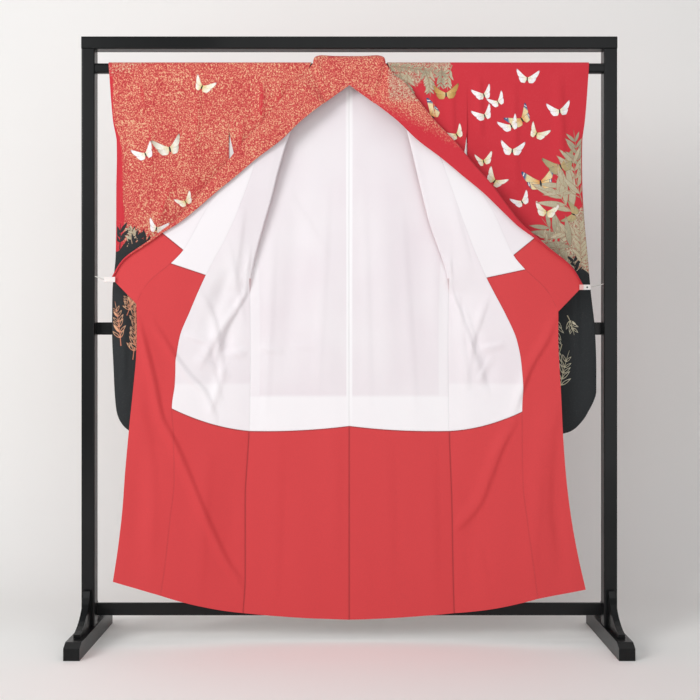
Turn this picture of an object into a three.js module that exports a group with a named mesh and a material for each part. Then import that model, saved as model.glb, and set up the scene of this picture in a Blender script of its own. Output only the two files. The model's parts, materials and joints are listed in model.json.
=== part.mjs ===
// A furisode hung open over the rod of a lacquered kimono stand.
// Millimetres, +Z up, +X to the viewer's right, -Y towards the viewer. The origin is on the floor, midway
// between the feet. Cloth panels are walls on shared surfaces: the outer cloth lies on one side of the
// surface and the lining on the other, and neighbours stop short of each other at every seam.
import * as THREE from "three";

// ---- driving dimensions -------------------------------------------------------------------------------
const STAND = {
  innerHalf: 728, postWidth: 38, postFront: -20, postBack: 24, height: 1733, topRail: 36,
  footLength: 420, footHeight: 45, footWidth: 44, footChamfer: 12,
  braceThick: 18, braceReach: 130, braceRise: 104,
};
const ROD = { front: -19, back: 7, top: 1657, bottom: 1629, corner: 8 };
const RAIL = { front: 11.5, back: 24, height: 36, midBottom: 880, lowBottom: 70 };
const FIT = 0.3; // gap where two pieces meet
const SEAM = 0.25; // each panel stops this far from its seam line
const OUTER = { from: 0.15, to: 1.35 }; // outer cloth, measured out from the shared surface
const LINING = { from: -1.15, to: -0.15 }; // lining, on the other side of it
const TURN = 4; // radius of the turned-back crease
const WRAP = 1.6; // the shared surface lies this far off the rod

// Weft lines from shoulder to hem: their heights at the centre back seam, the side, the overlap seam and
// the front edge. dip: sag between two seams.
const LEVELS = [
  { centre: 1600, side: 1600, seam: 1600, edge: 1600, dip: 0 },
  { centre: 1535, side: 1535, seam: 1540, edge: 1540, dip: 0 },
  { centre: 1470, side: 1470, seam: 1475, edge: 1475, dip: 0 },
  { centre: 1406, side: 1406, seam: 1406, edge: 1406, dip: 0 },
  { centre: 1340, side: 1340, seam: 1340, edge: 1345, dip: 0 },
  { centre: 1270, side: 1270, seam: 1273, edge: 1285, dip: 0 },
  { centre: 1200, side: 1200, seam: 1200, edge: 1225, dip: 0 },
  { centre: 1135, side: 1135, seam: 1135, edge: 1168, dip: 0 },
  { centre: 1085, side: 1085, seam: 1090, edge: 1119, dip: 0 },
  { centre: 1040, side: 1040, seam: 1049, edge: 1081, dip: 0 },
  { centre: 990, side: 990, seam: 1000, edge: 1022, dip: 2 },
  { centre: 935, side: 935, seam: 945, edge: 966, dip: 3 },
  { centre: 860, side: 860, seam: 872, edge: 888, dip: 5 },
  { centre: 780, side: 775, seam: 805, edge: 812, dip: 8 },
  { centre: 700, side: 690, seam: 738, edge: 740, dip: 10 },
  { centre: 618, side: 604, seam: 670, edge: 672, dip: 11 },
  { centre: 530, side: 515, seam: 575, edge: 590, dip: 10 },
  { centre: 420, side: 410, seam: 465, edge: 490, dip: 9 },
  { centre: 300, side: 300, seam: 350, edge: 385, dip: 8 },
  { centre: 180, side: 190, seam: 240, edge: 280, dip: 7 },
  { centre: 62, side: 82, seam: 138, edge: 180, dip: 7 },
];
const TIP = 3; // the overlap panel starts at this weft line, this wide
const TIP_WIDTH = 6;
const LAST_TURNED = 9; // the crease runs out below this weft line
const LINING_CHANGE = { body: 15, overlap: 9, collar: 8 }; // white above, red below

// Seam lines of each side, as half-widths x at heights z.
const SIDES = [
  {
    name: "left", sign: -1, lowered: 0,
    crease: [[104, 1660], [126, 1600], [143, 1551], [170, 1456], [196, 1374], [225, 1261], [260, 1139],
      [276, 1072], [284, 1026]],
    side: [[343, 1660], [343, 1440], [322, 1380], [316, 1330], [310, 1270], [286, 1006], [284, 862],
      [287, 604], [298, 410], [298, 183], [304, 82]],
    seam: [[255, 1406], [301, 1273], [344, 1169], [407, 1049], [453, 944], [478, 881], [489, 848],
      [495, 743], [504, 670], [495, 521], [512, 327], [525, 212], [536, 138]],
    edge: [[102, 1654], [141, 1600], [177, 1551], [256, 1440], [403, 1238], [469, 1119], [601, 966],
      [599, 878], [609, 744], [623, 607], [635, 478], [644, 360], [657, 258], [669, 180]],
    sleeve: [[688, 1660], [675, 1486], [666, 1433], [669, 1264], [669, 1153], [673, 1070], [680, 999],
      [681, 879], [676, 771], [672, 688], [666, 651], [652, 623], [625, 601], [590, 591]],
  },
  {
    name: "right", sign: 1, lowered: 22,
    crease: [[104, 1660], [126, 1600], [141, 1551], [171, 1438], [199, 1321], [231, 1193], [271, 1080],
      [284, 1026]],
    side: [[336, 1660], [336, 1440], [335, 1380], [330, 1330], [316, 1270], [286, 1006], [284, 862],
      [287, 604], [294, 410], [298, 183], [301, 82]],
    seam: [[252, 1406], [299, 1273], [341, 1156], [394, 1031], [433, 958], [465, 890], [485, 828],
      [493, 713], [491, 651], [494, 451], [509, 328], [536, 132]],
    edge: [[102, 1654], [141, 1600], [177, 1551], [256, 1440], [403, 1238], [463, 1106], [590, 940],
      [590, 879], [598, 719], [604, 599], [616, 449], [628, 360], [639, 294], [654, 223], [669, 158]],
    sleeve: [[685, 1660], [681, 1595], [673, 1486], [667, 1453], [669, 1298], [676, 1193], [686, 1087],
      [693, 1005], [706, 879], [709, 777], [709, 717], [688, 663], [655, 617], [622, 597], [590, 591]],
  },
];

// Depths y of the surfaces at heights z.
const DEPTH = {
  back: [[1660, 8.6], [1590, 8.4], [1440, 6], [1270, 1], [1006, -3], [62, -4]],
  backSide: [[1660, 8.6], [1590, 8.4], [1440, 6], [1330, 1], [1270, -3.5], [1040, -8.6], [990, -9], [62, -9]],
  upperSide: [[1660, -20.6], [1440, -19], [1330, -11], [1270, -7], [1040, -11.6]],
  upperCrease: [[1660, -20.6], [1440, -20], [1270, -19], [1139, -17], [1040, -13]],
  turnedCrease: [[1660, -28.6], [1440, -28], [1270, -27], [1139, -25], [1040, -21], [990, -9], [62, -9]],
  seam: [[1406, -34], [1273, -38], [1000, -42], [848, -42], [670, -38], [138, -38]],
  edge: [[1654, -24], [1600, -30.5], [1406, -34], [1238, -44], [966, -58], [672, -54], [180, -50]],
  sleeveFront: [[1660, -20.6], [1600, -20], [1440, -14], [1300, -8], [591, -6]],
  sleeveBack: [[1660, 8.6], [1600, 8.4], [1440, 7], [1300, 7], [591, 6]],
};

// The largest folds: soft troughs (depth > 0 goes away from the viewer) and ridges between two points.
const FOLDS = [
  { on: "back", side: "left", x0: 12, z0: 1440, x1: 70, z1: 660, depth: -4, width: 55 },
  { on: "back", side: "left", x0: 130, z0: 1420, x1: 200, z1: 640, depth: 4, width: 45 },
  { on: "back", side: "right", x0: 90, z0: 1460, x1: 120, z1: 640, depth: -4, width: 50 },
  { on: "back", side: "right", x0: 190, z0: 1300, x1: 240, z1: 620, depth: 3, width: 45 },
  { on: "front", side: "left", x0: 292, z0: 990, x1: 420, z1: 700, depth: 9, width: 30 },
  { on: "front", side: "left", x0: 330, z0: 1080, x1: 420, z1: 880, depth: 6, width: 30 },
  { on: "front", side: "right", x0: 300, z0: 960, x1: 430, z1: 720, depth: 9, width: 30 },
  { on: "front", side: "right", x0: 330, z0: 1090, x1: 470, z1: 900, depth: 5, width: 34 },
  { on: "front", side: "both", x0: 330, z0: 560, x1: 350, z1: 90, depth: 5, width: 60 },
  { on: "front", side: "both", x0: 590, z0: 620, x1: 600, z1: 170, depth: 5, width: 50 },
];

// Collar rows at the neck, before the collar reaches the first weft line. seam: where the collar is sewn on;
// free: half-width of its free edge; over and fore: the two points that its curve bends towards.
const NECK = [
  { seam: [0.3, 8.6, 1650], over: [0.3, 9.5, 1694], fore: [0.3, -34, 1694], free: 0.3 },
  { seam: [45, 8.6, 1650], over: [45, 9.5, 1696], fore: [43, -36, 1696], free: 20 },
  { seam: [84, 8.6, 1651], over: [82, 9, 1700], fore: [80, -36, 1700], free: 42 },
  { seam: [97, 3, 1661], over: [96, -4, 1690], fore: [95, -36, 1690], free: 52 },
  { seam: [101, -8, 1662], over: [100, -20, 1680], fore: [100, -36, 1675], free: 60 },
  { seam: [103, -22, 1656], over: [104, -26, 1648], fore: [106, -28, 1635], free: 68 },
];
// The collar from the first weft line to its end. Past its seam it lies outwards for `out`, turns back
// towards the viewer on a fold of radius `turn`, and its folded part comes in again for `over`. lean: the
// direction in which it lies outwards.
const NECK_FREE = { apexZ: 1590, y: -30, slope: 0.72 };
const COLLAR = [
  { out: 8, over: 100, turn: 4, lean: 0.63 },
  { out: 12, over: 84, turn: 4, lean: 0.63 },
  { out: 17, over: 74, turn: 4, lean: 0.63 },
  { out: 24, over: 60, turn: 4, lean: 0.63 },
  { out: 30, over: 46, turn: 4, lean: 0.63 },
  { out: 36, over: 34, turn: 4, lean: 0.65 },
  { out: 43, over: 24, turn: 4, lean: 0.65 },
  { out: 60, over: 18, turn: 4, lean: 0.63 },
  { out: 82, over: 14, turn: 3.5, lean: 0.63 },
  { out: 90, over: 12, turn: 3, lean: 0.66 },
  { out: 97, over: 10, turn: 2.6, lean: 0.7 },
  { out: 101, over: 8, turn: 2.2, lean: 0.72 },
];
const COLLAR_LINED_FROM = 3; // its lining shows from this weft line on
const OVER_LEAN = 0.72; // direction in which the folded part comes back in

const COLUMNS = { back: 9, upper: 5, front: 7, overlap: 3, collar: 6, collarLining: 2, sleeve: 7 };
const NECK_COLUMNS = 3; // columns of the back panel that lie under the neckline
const CUFF = { bottom: 1432, blend: 40 };
const SLEEVE = { bottom: 591, round: 70, inner: 345, attachedTo: 1440 };
const SLEEVE_ROWS = [1600, 1535, 1490, 1432, 1380, 1300, 1210, 1110, 1000, 890, 790, 720, 660, 625, 603, 591];
const SLEEVE_LINING = { columns: 3, fromRow: 4, toRow: 12 };

const CLIP = { length: 32, width: 14, jaw: 2.4, slot: 10.6, grip: 12, lift: 1.8 };
const STRING_RADIUS = 1.4;

const LOOK = {
  lacquer: { color: 0x15171a, roughness: 0.25, metalness: 0 },
  upperCloth: { color: 0xd05a48, roughness: 0.8, metalness: 0 },
  redCloth: { color: 0xd03040, roughness: 0.8, metalness: 0 },
  blackCloth: { color: 0x2d3032, roughness: 0.8, metalness: 0 },
  whiteLining: { color: 0xeee9ec, roughness: 0.7, metalness: 0 },
  redLining: { color: 0xd9484b, roughness: 0.7, metalness: 0 },
  clip: { color: 0xf2f2f0, roughness: 0.4, metalness: 0 },
};

// ---- helpers ------------------------------------------------------------------------------------------
const furisode = new THREE.Group();
const lerp = THREE.MathUtils.lerp;
const point = (x, y, z) => new THREE.Vector3(x, y, z);
const span = (n) => Array.from({ length: n + 1 }, (_, i) => i / n);

function addMesh(name, geometry, look) {
  const mesh = new THREE.Mesh(geometry, new THREE.MeshStandardMaterial(look));
  mesh.name = name;
  furisode.add(mesh);
  return mesh;
}

// A smooth curve value = f(key) through rows of [value, key] or [key, value], keys falling.
function smooth(rows, key, keyColumn) {
  const valueColumn = 1 - keyColumn;
  const last = rows.length - 1;
  if (key >= rows[0][keyColumn]) return rows[0][valueColumn];
  if (key <= rows[last][keyColumn]) return rows[last][valueColumn];
  const i = rows.findIndex((row) => row[keyColumn] < key) - 1;
  const rise = (a, b, column) => rows[b][column] - rows[a][column];
  const slope = (a, b) => rise(a, b, valueColumn) / rise(a, b, keyColumn);
  const here = slope(i, i + 1);
  const before = i > 0 ? slope(i - 1, i) : here;
  const after = i + 1 < last ? slope(i + 1, i + 2) : here;
  const tangent = (a, b) => (a * b <= 0 ? 0 : (2 * a * b) / (a + b));
  const width = rows[i + 1][keyColumn] - rows[i][keyColumn];
  const t = (key - rows[i][keyColumn]) / width;
  const m0 = tangent(before, here) * width;
  const m1 = tangent(here, after) * width;
  return (2 * t ** 3 - 3 * t ** 2 + 1) * rows[i][valueColumn] + (t ** 3 - 2 * t ** 2 + t) * m0
    + (3 * t ** 2 - 2 * t ** 3) * rows[i + 1][valueColumn] + (t ** 3 - t ** 2) * m1;
}
const widthAt = (rows, z) => smooth(rows, z, 1);
const depthAt = (rows, z) => smooth(rows, z, 0);

// Depth added by the folds at a point of one side.
function foldDepth(on, side, x, z) {
  let sum = 0;
  for (const fold of FOLDS) {
    if (fold.on !== on || (fold.side !== "both" && fold.side !== side.name)) continue;
    const run = [fold.x1 - fold.x0, fold.z1 - fold.z0];
    const length = Math.hypot(...run);
    const along = ((x - fold.x0) * run[0] + (z - fold.z0) * run[1]) / length ** 2;
    const across = ((x - fold.x0) * run[1] - (z - fold.z0) * run[0]) / length;
    if (along <= 0 || along >= 1) continue;
    sum += fold.depth * Math.exp(-((across / fold.width) ** 2) * 2) * Math.sin(Math.PI * along);
  }
  return sum;
}

// The closed wall between two offsets of a grid of points, over the cells that keep(row, column) allows.
// Normals are (along a row) x (down a column); a left piece is mirrored and its faces turned.
function wall(grid, band, sign, keep = () => true) {
  const rows = grid.length;
  const columns = grid[0].length;
  const kept = (r, c) => r >= 0 && c >= 0 && r < rows - 1 && c < columns - 1 && keep(r, c);
  const used = (r, c) => kept(r, c) || kept(r - 1, c) || kept(r, c - 1) || kept(r - 1, c - 1);
  const at = (r, c) => grid[Math.min(Math.max(r, 0), rows - 1)][Math.min(Math.max(c, 0), columns - 1)];
  const inside = (r, c) => r >= 0 && c >= 0 && r < rows && c < columns && used(r, c);
  const sample = (r, c, r0, c0) => (inside(r, c) ? at(r, c) : at(r0, c0));
  const index = new Map();
  const positions = [];
  for (let r = 0; r < rows; r++) {
    for (let c = 0; c < columns; c++) {
      if (!used(r, c)) continue;
      const across = sample(r, c + 1, r, c).clone().sub(sample(r, c - 1, r, c));
      const down = sample(r + 1, c, r, c).clone().sub(sample(r - 1, c, r, c));
      const normal = across.cross(down).normalize();
      index.set(r * columns + c, positions.length / 6);
      for (const offset of [band.to, band.from]) {
        const p = at(r, c).clone().addScaledVector(normal, offset);
        positions.push(p.x * sign, p.y, p.z);
      }
    }
  }
  const triangles = [];
  const face = (a, b, c) => triangles.push(...(sign > 0 ? [a, b, c] : [a, c, b]));
  const outer = (r, c) => index.get(r * columns + c) * 2;
  const inner = (r, c) => outer(r, c) + 1;
  const rim = (r0, c0, r1, c1) => {
    face(outer(r0, c0), inner(r0, c0), outer(r1, c1));
    face(inner(r0, c0), inner(r1, c1), outer(r1, c1));
  };
  for (let r = 0; r < rows - 1; r++) {
    for (let c = 0; c < columns - 1; c++) {
      if (!kept(r, c)) continue;
      face(outer(r, c), outer(r, c + 1), outer(r + 1, c + 1));
      face(outer(r, c), outer(r + 1, c + 1), outer(r + 1, c));
      face(inner(r, c), inner(r + 1, c + 1), inner(r, c + 1));
      face(inner(r, c), inner(r + 1, c), inner(r + 1, c + 1));
      if (!kept(r - 1, c)) rim(r, c, r, c + 1);
      if (!kept(r + 1, c)) rim(r + 1, c + 1, r + 1, c);
      if (!kept(r, c - 1)) rim(r + 1, c, r, c);
      if (!kept(r, c + 1)) rim(r, c + 1, r + 1, c + 1);
    }
  }
  const geometry = new THREE.BufferGeometry();
  geometry.setAttribute("position", new THREE.Float32BufferAttribute(positions, 3));
  geometry.setIndex(triangles);
  geometry.computeVertexNormals();
  return geometry;
}

// The grid with its outermost points moved in from the seams; each side can be left where it is.
function inset(grid, { top = SEAM, bottom = SEAM, start = SEAM, end = SEAM } = {}) {
  const moved = grid.map((row) => row.map((p) => p.clone()));
  const rows = grid.length - 1;
  const columns = grid[0].length - 1;
  const pull = (r, c, r1, c1, by) => {
    const step = grid[r1][c1].clone().sub(grid[r][c]);
    moved[r][c].addScaledVector(step.normalize(), by);
  };
  for (let c = 0; c <= columns; c++) {
    pull(0, c, 1, c, top);
    pull(rows, c, rows - 1, c, bottom);
  }
  for (let r = 0; r <= rows; r++) {
    pull(r, 0, r, 1, start);
    pull(r, columns, r, columns - 1, end);
  }
  return moved;
}

// Rows of a surface that lies over the rod, from its top down its front or back, at a distance off it.
function rodRows(front) {
  const r = ROD.corner + WRAP;
  const z = ROD.top - ROD.corner;
  const middle = (ROD.front + ROD.back) / 2;
  const centre = front ? ROD.front + ROD.corner : ROD.back - ROD.corner;
  const way = front ? -1 : 1;
  const rows = [{ y: middle + way * SEAM, z: z + r }];
  for (const t of span(3)) {
    rows.push({
      y: centre + way * r * Math.sin((t * Math.PI) / 2),
      z: z + r * Math.cos((t * Math.PI) / 2),
    });
  }
  return rows;
}

// How far a weft line hangs lower on this side, at its front edge; the overlap seam hangs less.
const edgeDrop = (side, z) => side.lowered * THREE.MathUtils.smoothstep(1400 - z, 0, 460);
const seamDrop = (side, z) => edgeDrop(side, z) * 0.4;

// ---- cloth surfaces -----------------------------------------------------------------------------------
// Back panel: over the rod and down from the centre back seam to the side.
function backGrid(side) {
  const over = rodRows(false).map(({ y, z }) => span(COLUMNS.back)
    .map((u) => point(u * widthAt(side.side, z), y, z)));
  const down = LEVELS.map((level) => span(COLUMNS.back).map((u) => {
    const z = lerp(level.centre, level.side, u) - level.dip * 2 * u * (1 - u);
    const x = u * widthAt(side.side, level.side);
    const y = lerp(depthAt(DEPTH.back, z), depthAt(DEPTH.backSide, z), u ** 2);
    return point(x, y + foldDepth("back", side, x, z) * Math.sin(Math.PI * u), z);
  }));
  return [...over, ...down];
}

// Front panel: from the side over its outer face to the crease, round the crease, and on to the seam.
function frontGrid(side) {
  const upper = (z, y0, y1, zFrom) => span(COLUMNS.upper).map((u) => point(
    lerp(widthAt(side.side, z), widthAt(side.crease, z) + TURN, u), lerp(y0, y1, u), zFrom));
  const over = rodRows(true).map(({ y, z }) => [
    ...upper(z, y, y, z),
    ...new Array(COLUMNS.front + 2).fill(0).map(() => point(widthAt(side.crease, z), y, z)),
  ]);
  const down = LEVELS.map((level, i) => {
    const z = level.side;
    const turned = i <= LAST_TURNED;
    const creaseX = turned ? widthAt(side.crease, z) : widthAt(side.side, z);
    const upperY = depthAt(DEPTH.upperCrease, z);
    const start = upper(z, depthAt(DEPTH.upperSide, z), upperY, z);
    const turn = [
      point(creaseX, upperY - TURN, z),
      point(creaseX + (turned ? TURN : 0), depthAt(DEPTH.turnedCrease, z), z),
    ];
    const seamTable = i < TIP ? side.edge : side.seam;
    const seamZ = level.seam - seamDrop(side, level.seam);
    const seamX = widthAt(seamTable, seamZ);
    const seamY = depthAt(i < TIP ? DEPTH.edge : DEPTH.seam, level.seam);
    const flat = span(COLUMNS.front).slice(1).map((u) => {
      const x = lerp(turn[1].x, seamX, u);
      const height = lerp(z, seamZ, u) - level.dip * 4 * u * (1 - u);
      const y = lerp(turn[1].y, seamY, u);
      return point(x, y + foldDepth("front", side, x, height) * Math.sin(Math.PI * u), height);
    });
    return [...start, ...turn, ...flat];
  });
  return [...over, ...down];
}
function overlapGrid(side) {
  return LEVELS.slice(TIP).map((level, i) => {
    const seamZ = level.seam - seamDrop(side, level.seam);
    const edgeZ = level.edge - edgeDrop(side, level.edge);
    const a = point(widthAt(side.seam, seamZ), depthAt(DEPTH.seam, level.seam), seamZ);
    const tipWidth = i === 0 ? TIP_WIDTH : 0;
    const b = point(widthAt(side.edge, edgeZ) + tipWidth, depthAt(DEPTH.edge, level.edge), edgeZ);
    return span(COLUMNS.overlap).map((u) => {
      const p = a.clone().lerp(b, u);
      p.y += foldDepth("front", side, p.x, p.z) * Math.sin(Math.PI * u);
      return p;
    });
  });
}

function collarGrid(side) {
  const neck = NECK.map(({ seam, over, fore, free }) => {
    const end = point(free, NECK_FREE.y, NECK_FREE.apexZ - NECK_FREE.slope * free);
    const curve = new THREE.CubicBezierCurve3(point(...seam), point(...over), point(...fore), end);
    return span(COLUMNS.collar).map((u) => curve.getPoint(u));
  });
  const down = COLLAR.map((row, i) => {
    const z = LEVELS[i].edge - edgeDrop(side, LEVELS[i].edge);
    const seamX = widthAt(side.edge, z) + (i === TIP ? TIP_WIDTH : 0);
    const seam = point(seamX, depthAt(DEPTH.edge, LEVELS[i].edge), z);
    const outward = point(Math.sqrt(1 - row.lean ** 2), 0, row.lean);
    const inward = point(-Math.sqrt(1 - OVER_LEAN ** 2), 0, -OVER_LEAN);
    const fold = seam.clone().addScaledVector(outward, row.out);
    const back = fold.clone().addScaledVector(outward, -row.turn);
    const forward = point(0, -row.turn, 0);
    const front = fold.clone().addScaledVector(inward, row.turn).addScaledVector(forward, 2);
    const free = fold.clone().addScaledVector(inward, row.over).addScaledVector(forward, 2.4);
    return [seam, seam.clone().lerp(back, 0.5), back, fold.clone().add(forward), front,
      front.clone().lerp(free, 0.5), free];
  });
  return [...neck, ...down];
}

// One leaf of the sleeve bag, from its inner to its outer edge; the leaves close at the sewn edges.
function sleeveGrid(side, front) {
  const inner = (z) => widthAt(side.side, 1600) + (z >= SLEEVE.attachedTo ? 2 * SEAM : 2);
  const over = rodRows(front).map(({ y, z }) => span(COLUMNS.sleeve).map((u) => point(
    lerp(inner(z), widthAt(side.sleeve, z), u), y, z)));
  const down = SLEEVE_ROWS.map((z) => span(COLUMNS.sleeve).map((u) => {
    const outerX = widthAt(side.sleeve, z);
    const x = lerp(inner(z), outerX, u);
    const yFront = depthAt(DEPTH.sleeveFront, z);
    const yBack = depthAt(DEPTH.sleeveBack, z);
    const sewn = THREE.MathUtils.smoothstep(CUFF.bottom - z, -CUFF.blend, CUFF.blend);
    const fromEdge = lerp(1, Math.min(1, Math.sqrt((outerX - x) / SLEEVE.round)), sewn);
    const fromBottom = Math.min(1, Math.sqrt(Math.max(z - SLEEVE.bottom, 0) / SLEEVE.round));
    const half = ((yBack - yFront) / 2) * Math.min(fromEdge, fromBottom);
    return point(x, (yFront + yBack) / 2 + (front ? -half : half), z);
  }));
  return [...over, ...down];
}

// ---- cloth pieces -------------------------------------------------------------------------------------
const OVER_ROWS = 5; // rows of a surface that lie over the rod, before the first weft line
const rowsOf = (grid, from, to) => grid.slice(from, to + 1);

function addBack(side) {
  const grid = backGrid(side);
  const changeRow = OVER_ROWS + LINING_CHANGE.body;
  const whole = inset(grid, { top: 0, bottom: 0 });
  const keep = (r, c) => r >= OVER_ROWS - 1 || c >= NECK_COLUMNS;
  addMesh(`back_${side.name}`, wall(whole, OUTER, side.sign, keep), LOOK.redCloth);
  addMesh(`back_lining_${side.name}`,
    wall(inset(rowsOf(grid, OVER_ROWS - 1, changeRow), { top: 0 }), LINING, side.sign), LOOK.whiteLining);
  addMesh(`back_hem_lining_${side.name}`,
    wall(inset(rowsOf(grid, changeRow, grid.length - 1), { bottom: 0 }), LINING, side.sign), LOOK.redLining);
}

function addFront(side) {
  const grid = frontGrid(side);
  const firstFlat = COLUMNS.upper + 2; // first column after the crease
  const changeRow = OVER_ROWS + LINING_CHANGE.body;
  const keep = (r, c) => (c < firstFlat ? r < OVER_ROWS + LAST_TURNED && (c < COLUMNS.upper || r >= OVER_ROWS)
    : r >= OVER_ROWS);
  const whole = inset(grid, { top: 0, bottom: 0 });
  for (let r = OVER_ROWS + LAST_TURNED + 1; r < whole.length; r++) {
    const row = whole[r];
    row[firstFlat].addScaledVector(row[firstFlat + 1].clone().sub(row[firstFlat]).normalize(), SEAM);
  }
  addMesh(`front_${side.name}`, wall(whole, OUTER, side.sign, keep), LOOK.upperCloth);
  const flat = grid.map((row) => row.slice(firstFlat));
  addMesh(`front_lining_${side.name}`,
    wall(inset(rowsOf(flat, OVER_ROWS, changeRow)), LINING, side.sign), LOOK.whiteLining);
  addMesh(`front_hem_lining_${side.name}`,
    wall(inset(rowsOf(flat, changeRow, grid.length - 1), { bottom: 0 }), LINING, side.sign), LOOK.redLining);
}

function addOverlap(side) {
  const grid = overlapGrid(side);
  const changeRow = LINING_CHANGE.overlap - TIP;
  addMesh(`okumi_${side.name}`, wall(inset(grid, { bottom: 0 }), OUTER, side.sign), LOOK.blackCloth);
  addMesh(`okumi_lining_${side.name}`,
    wall(inset(rowsOf(grid, 0, changeRow)), LINING, side.sign), LOOK.whiteLining);
  addMesh(`okumi_hem_lining_${side.name}`,
    wall(inset(rowsOf(grid, changeRow, grid.length - 1), { bottom: 0 }), LINING, side.sign), LOOK.redLining);
}

function addCollar(side) {
  const grid = collarGrid(side);
  const changeRow = NECK.length + LINING_CHANGE.collar;
  addMesh(`collar_${side.name}`, wall(inset(grid, { end: 0 }), OUTER, side.sign), LOOK.upperCloth);
  const lined = grid.map((row) => row.slice(0, COLUMNS.collarLining + 1));
  addMesh(`collar_lining_${side.name}`,
    wall(inset(rowsOf(lined, NECK.length + COLLAR_LINED_FROM, changeRow), { end: 0 }), LINING, side.sign),
    LOOK.whiteLining);
  addMesh(`collar_end_lining_${side.name}`,
    wall(inset(rowsOf(lined, changeRow, lined.length - 1), { end: 0 }), LINING, side.sign), LOOK.redLining);
}

function addSleeve(side) {
  const front = sleeveGrid(side, true);
  const back = sleeveGrid(side, false);
  const keepAll = { top: 0, bottom: 0, start: 0, end: 0 };
  // The front leaf's surface looks the other way, so its rows run upwards.
  const leaf = (rows) => wall(inset(rows, keepAll), OUTER, side.sign);
  addMesh(`sleeve_front_${side.name}`, leaf([...front].reverse()), LOOK.upperCloth);
  addMesh(`sleeve_back_${side.name}`, leaf(back), LOOK.upperCloth);
  const strip = rowsOf(back, OVER_ROWS + SLEEVE_LINING.fromRow - 1, OVER_ROWS + SLEEVE_LINING.toRow)
    .map((row) => row.slice(0, SLEEVE_LINING.columns + 1));
  addMesh(`sleeve_lining_${side.name}`, wall(strip, LINING, side.sign), LOOK.whiteLining);
}

// ---- stand --------------------------------------------------------------------------------------------
// A bar with rounded edges: a rounded rectangle a x b, extruded by a length along +Z of its own frame.
function bar(a, b, length, radius) {
  const shape = new THREE.Shape();
  const [x, y] = [a / 2 - radius, b / 2 - radius];
  shape.absarc(x, y, radius, 0, Math.PI / 2);
  shape.absarc(-x, y, radius, Math.PI / 2, Math.PI);
  shape.absarc(-x, -y, radius, Math.PI, Math.PI * 1.5);
  shape.absarc(x, -y, radius, Math.PI * 1.5, Math.PI * 2);
  return new THREE.ExtrudeGeometry(shape, { depth: length, bevelEnabled: false, curveSegments: 3 });
}

// A rail along X between two x places.
function addRail(name, { from, to, front, back, bottom, top, radius }) {
  const geometry = bar(top - bottom, back - front, to - from, radius);
  geometry.rotateY(Math.PI / 2);
  addMesh(name, geometry, LOOK.lacquer).position.set(from, (front + back) / 2, (bottom + top) / 2);
}

function addStand() {
  const inside = STAND.innerHalf - FIT;
  const outside = STAND.innerHalf + STAND.postWidth;
  const railBottom = STAND.height - STAND.topRail;
  const across = { from: -inside, to: inside };
  const thin = { front: RAIL.front, back: RAIL.back, radius: 3 };
  addRail("top_rail", {
    from: -outside, to: outside, front: STAND.postFront, back: STAND.postBack,
    bottom: railBottom, top: STAND.height, radius: 5,
  });
  addRail("hanging_rod", {
    ...across, front: ROD.front, back: ROD.back, bottom: ROD.bottom, top: ROD.top, radius: ROD.corner,
  });
  addRail("mid_rail", { ...across, ...thin, bottom: RAIL.midBottom, top: RAIL.midBottom + RAIL.height });
  addRail("bottom_rail", { ...across, ...thin, bottom: RAIL.lowBottom, top: RAIL.lowBottom + RAIL.height });
  for (const { name, sign } of SIDES) {
    const x = sign * (STAND.innerHalf + STAND.postWidth / 2);
    const depth = STAND.postBack - STAND.postFront;
    const bottom = STAND.footHeight + FIT;
    const upright = bar(STAND.postWidth, depth, railBottom - FIT - bottom, 4);
    const post = addMesh(`post_${name}`, upright, LOOK.lacquer);
    post.position.set(x, (STAND.postFront + STAND.postBack) / 2, bottom);
    addFoot(name, x);
    addBrace(`brace_front_${name}`, x, STAND.postFront - FIT, -1);
    addBrace(`brace_back_${name}`, x, STAND.postBack + FIT, 1);
  }
}

// A foot: a block with chamfered upper ends, extruded across its width.
function addFoot(name, x) {
  const half = STAND.footLength / 2;
  const c = STAND.footChamfer;
  const shape = new THREE.Shape();
  shape.moveTo(-half, 0);
  shape.lineTo(half, 0);
  shape.lineTo(half, STAND.footHeight - c);
  shape.lineTo(half - 2 * c, STAND.footHeight);
  shape.lineTo(-half + 2 * c, STAND.footHeight);
  shape.lineTo(-half, STAND.footHeight - c);
  shape.closePath();
  const geometry = new THREE.ExtrudeGeometry(shape, { depth: STAND.footWidth, bevelEnabled: false });
  geometry.rotateX(Math.PI / 2).rotateZ(Math.PI / 2);
  addMesh(`foot_${name}`, geometry, LOOK.lacquer).position.set(x - STAND.footWidth / 2, 0, 0);
}

// A brace: a concave triangular plate between the post and the foot.
function addBrace(name, x, y, way) {
  const low = STAND.footHeight + FIT;
  const shape = new THREE.Shape();
  shape.moveTo(0, low);
  shape.lineTo(STAND.braceReach, low);
  shape.lineTo(STAND.braceReach, low + 10);
  shape.quadraticCurveTo(STAND.braceReach * 0.3, low + 30, 14, low + STAND.braceRise);
  shape.lineTo(0, low + STAND.braceRise);
  shape.closePath();
  const geometry = new THREE.ExtrudeGeometry(shape, {
    depth: STAND.braceThick, bevelEnabled: false, curveSegments: 8,
  });
  geometry.rotateX(Math.PI / 2).rotateZ(way * Math.PI / 2);
  addMesh(name, geometry, LOOK.lacquer).position.set(x - way * STAND.braceThick / 2, y, 0);
}

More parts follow.
